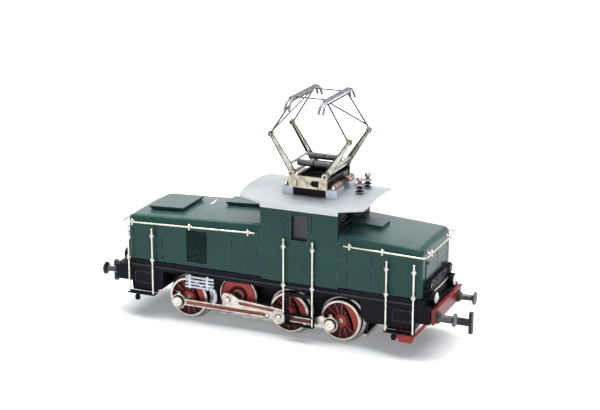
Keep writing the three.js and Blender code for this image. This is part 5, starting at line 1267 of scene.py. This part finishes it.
# Faces inside the side plates take blackened steel: painted shade on the inside of the base.
base.data.materials.append(gunmetal.material)
for face in base.data.polygons:
    if abs(face.center.y) < INNER_SHADE_Y * MM:
        face.material_index = 1
smoothed(base)
print("base faces:", len(base.data.polygons))

# %% Washers on the pivots, and black plates behind the cuts as painted shade
washer = [(0.42, 9.2), (0.95, 9.2), (0.95, 9.32), (0.42, 9.36)]
washers = [turned(warm_nickel, washer, "Y", (PAN_X + out * BASE_HALF, 0, BASE_Z), 24, sign)
           for sign in SIGNS for out in SIGNS]
washers += [slab(black, rectangle(7.2, 46.9, 14.7, 49.2), sign * 8.2, sign * 8.6) for sign in SIGNS]
finished("pivot_washers_and_shade_plates", washers)
print("washers and plates:", len(washers))

# %% [markdown]
# The studio is a pale floor that runs out of sight, two large soft lamps high above, one over
# each end, a weak fill from the front, and a white surround that the camera and the metals
# see. The floor glows a little, and more with the distance from the model. It keeps its soft
# shadow, and the glow shows to the camera, in mirrors and through glass, but lights nothing.

# %% Lay the floor
GLOW_REACH = (0.10, 0.34)
GLOW_RANGE = (0.19, 1.0)
FLOOR_SIZE = 12
floor_paint = Finish("studio floor")
pale = floor_paint.mix(floor_paint.noise(0.01, 2), (0.86, 0.87, 0.88), (0.84, 0.85, 0.86))
floor_paint.set(Base_Color=pale, Roughness=0.6, Specular_IOR_Level=0.2)
away = floor_paint.node("VectorMath", {"operation": "LENGTH"}, {0: floor_paint.place}, "Value")
# The glow is weakest next to the model and grows to white further out, so the floor round the model is
# darker: painted shade.
growing = floor_paint.between(away, *GLOW_REACH, *GLOW_RANGE)
glow = floor_paint.node("Emission", None, {"Color": growing, "Strength": 1.0})
plain = Field(floor_paint, floor_paint.shader.outputs[0])
lit = floor_paint.node("AddShader", None, {0: plain, 1: glow})
looked_at = floor_paint.node("MixShader", None, {0: floor_paint.plainly_seen(), 1: plain, 2: lit})
floor_paint.show("Material Output", looked_at)
floor = added(bpy.ops.mesh.primitive_grid_add, x_subdivisions=4, y_subdivisions=4, size=FLOOR_SIZE)
floor.name = "studio_floor"
coat(floor, floor_paint)
floor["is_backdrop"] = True
print("floor laid")

# %% Light the surround for the camera
world = bpy.data.worlds.new("studio surround")
bpy.context.scene.world = world
world.use_nodes = True
sky = Nodes(world.node_tree)
sky.tree.nodes.remove(sky.tree.nodes["Background"])
soft = sky.node("Background", None, {"Color": (0.86, 0.92, 1.0), "Strength": 0.24})
bright = sky.node("Background", None, {"Color": (1, 1, 1), "Strength": 1.0})
sky.show("World Output", sky.node("MixShader", None, {0: sky.plainly_seen(), 1: soft, 2: bright}))
print("surround ready")


# %% Hang the lamps
def soft_lamp(name, place, aim, size, power, tint=(1, 1, 1)):
    lamp = added(bpy.ops.object.light_add, type="AREA", location=[v * MM for v in place])
    lamp.name = name
    lamp.data.shape = "RECTANGLE"
    lamp.data.size = size[0]
    lamp.data.size_y = size[1]
    lamp.data.energy = power
    lamp.data.color = tint
    lamp.rotation_mode = "QUATERNION"
    lamp.rotation_quaternion = (Vector(aim) - Vector(place)).to_track_quat("-Z", "Y")


soft_lamp("key_lamp", (-150, 40, 540), (0, 0, 20), (0.4, 0.4), 3.3)
soft_lamp("top_lamp", (160, 40, 520), (0, 0, 20), (0.5, 0.4), 2.9)
soft_lamp("front_fill", (120, -620, 260), (0, 0, 25), (0.6, 0.4), 0.9, (0.95, 0.97, 1.0))

# %% [markdown]
# The dressed model has to keep the measured size, so both boxes are printed side by side.

# %% Print the sizes of both boxes
dressed_low, dressed_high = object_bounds()
for label, a, b in zip("xyz", zip(frame_low, frame_high), zip(dressed_low, dressed_high)):
    print(label, "frame", [round(v / MM, 2) for v in a], "dressed", [round(v / MM, 2) for v in b])
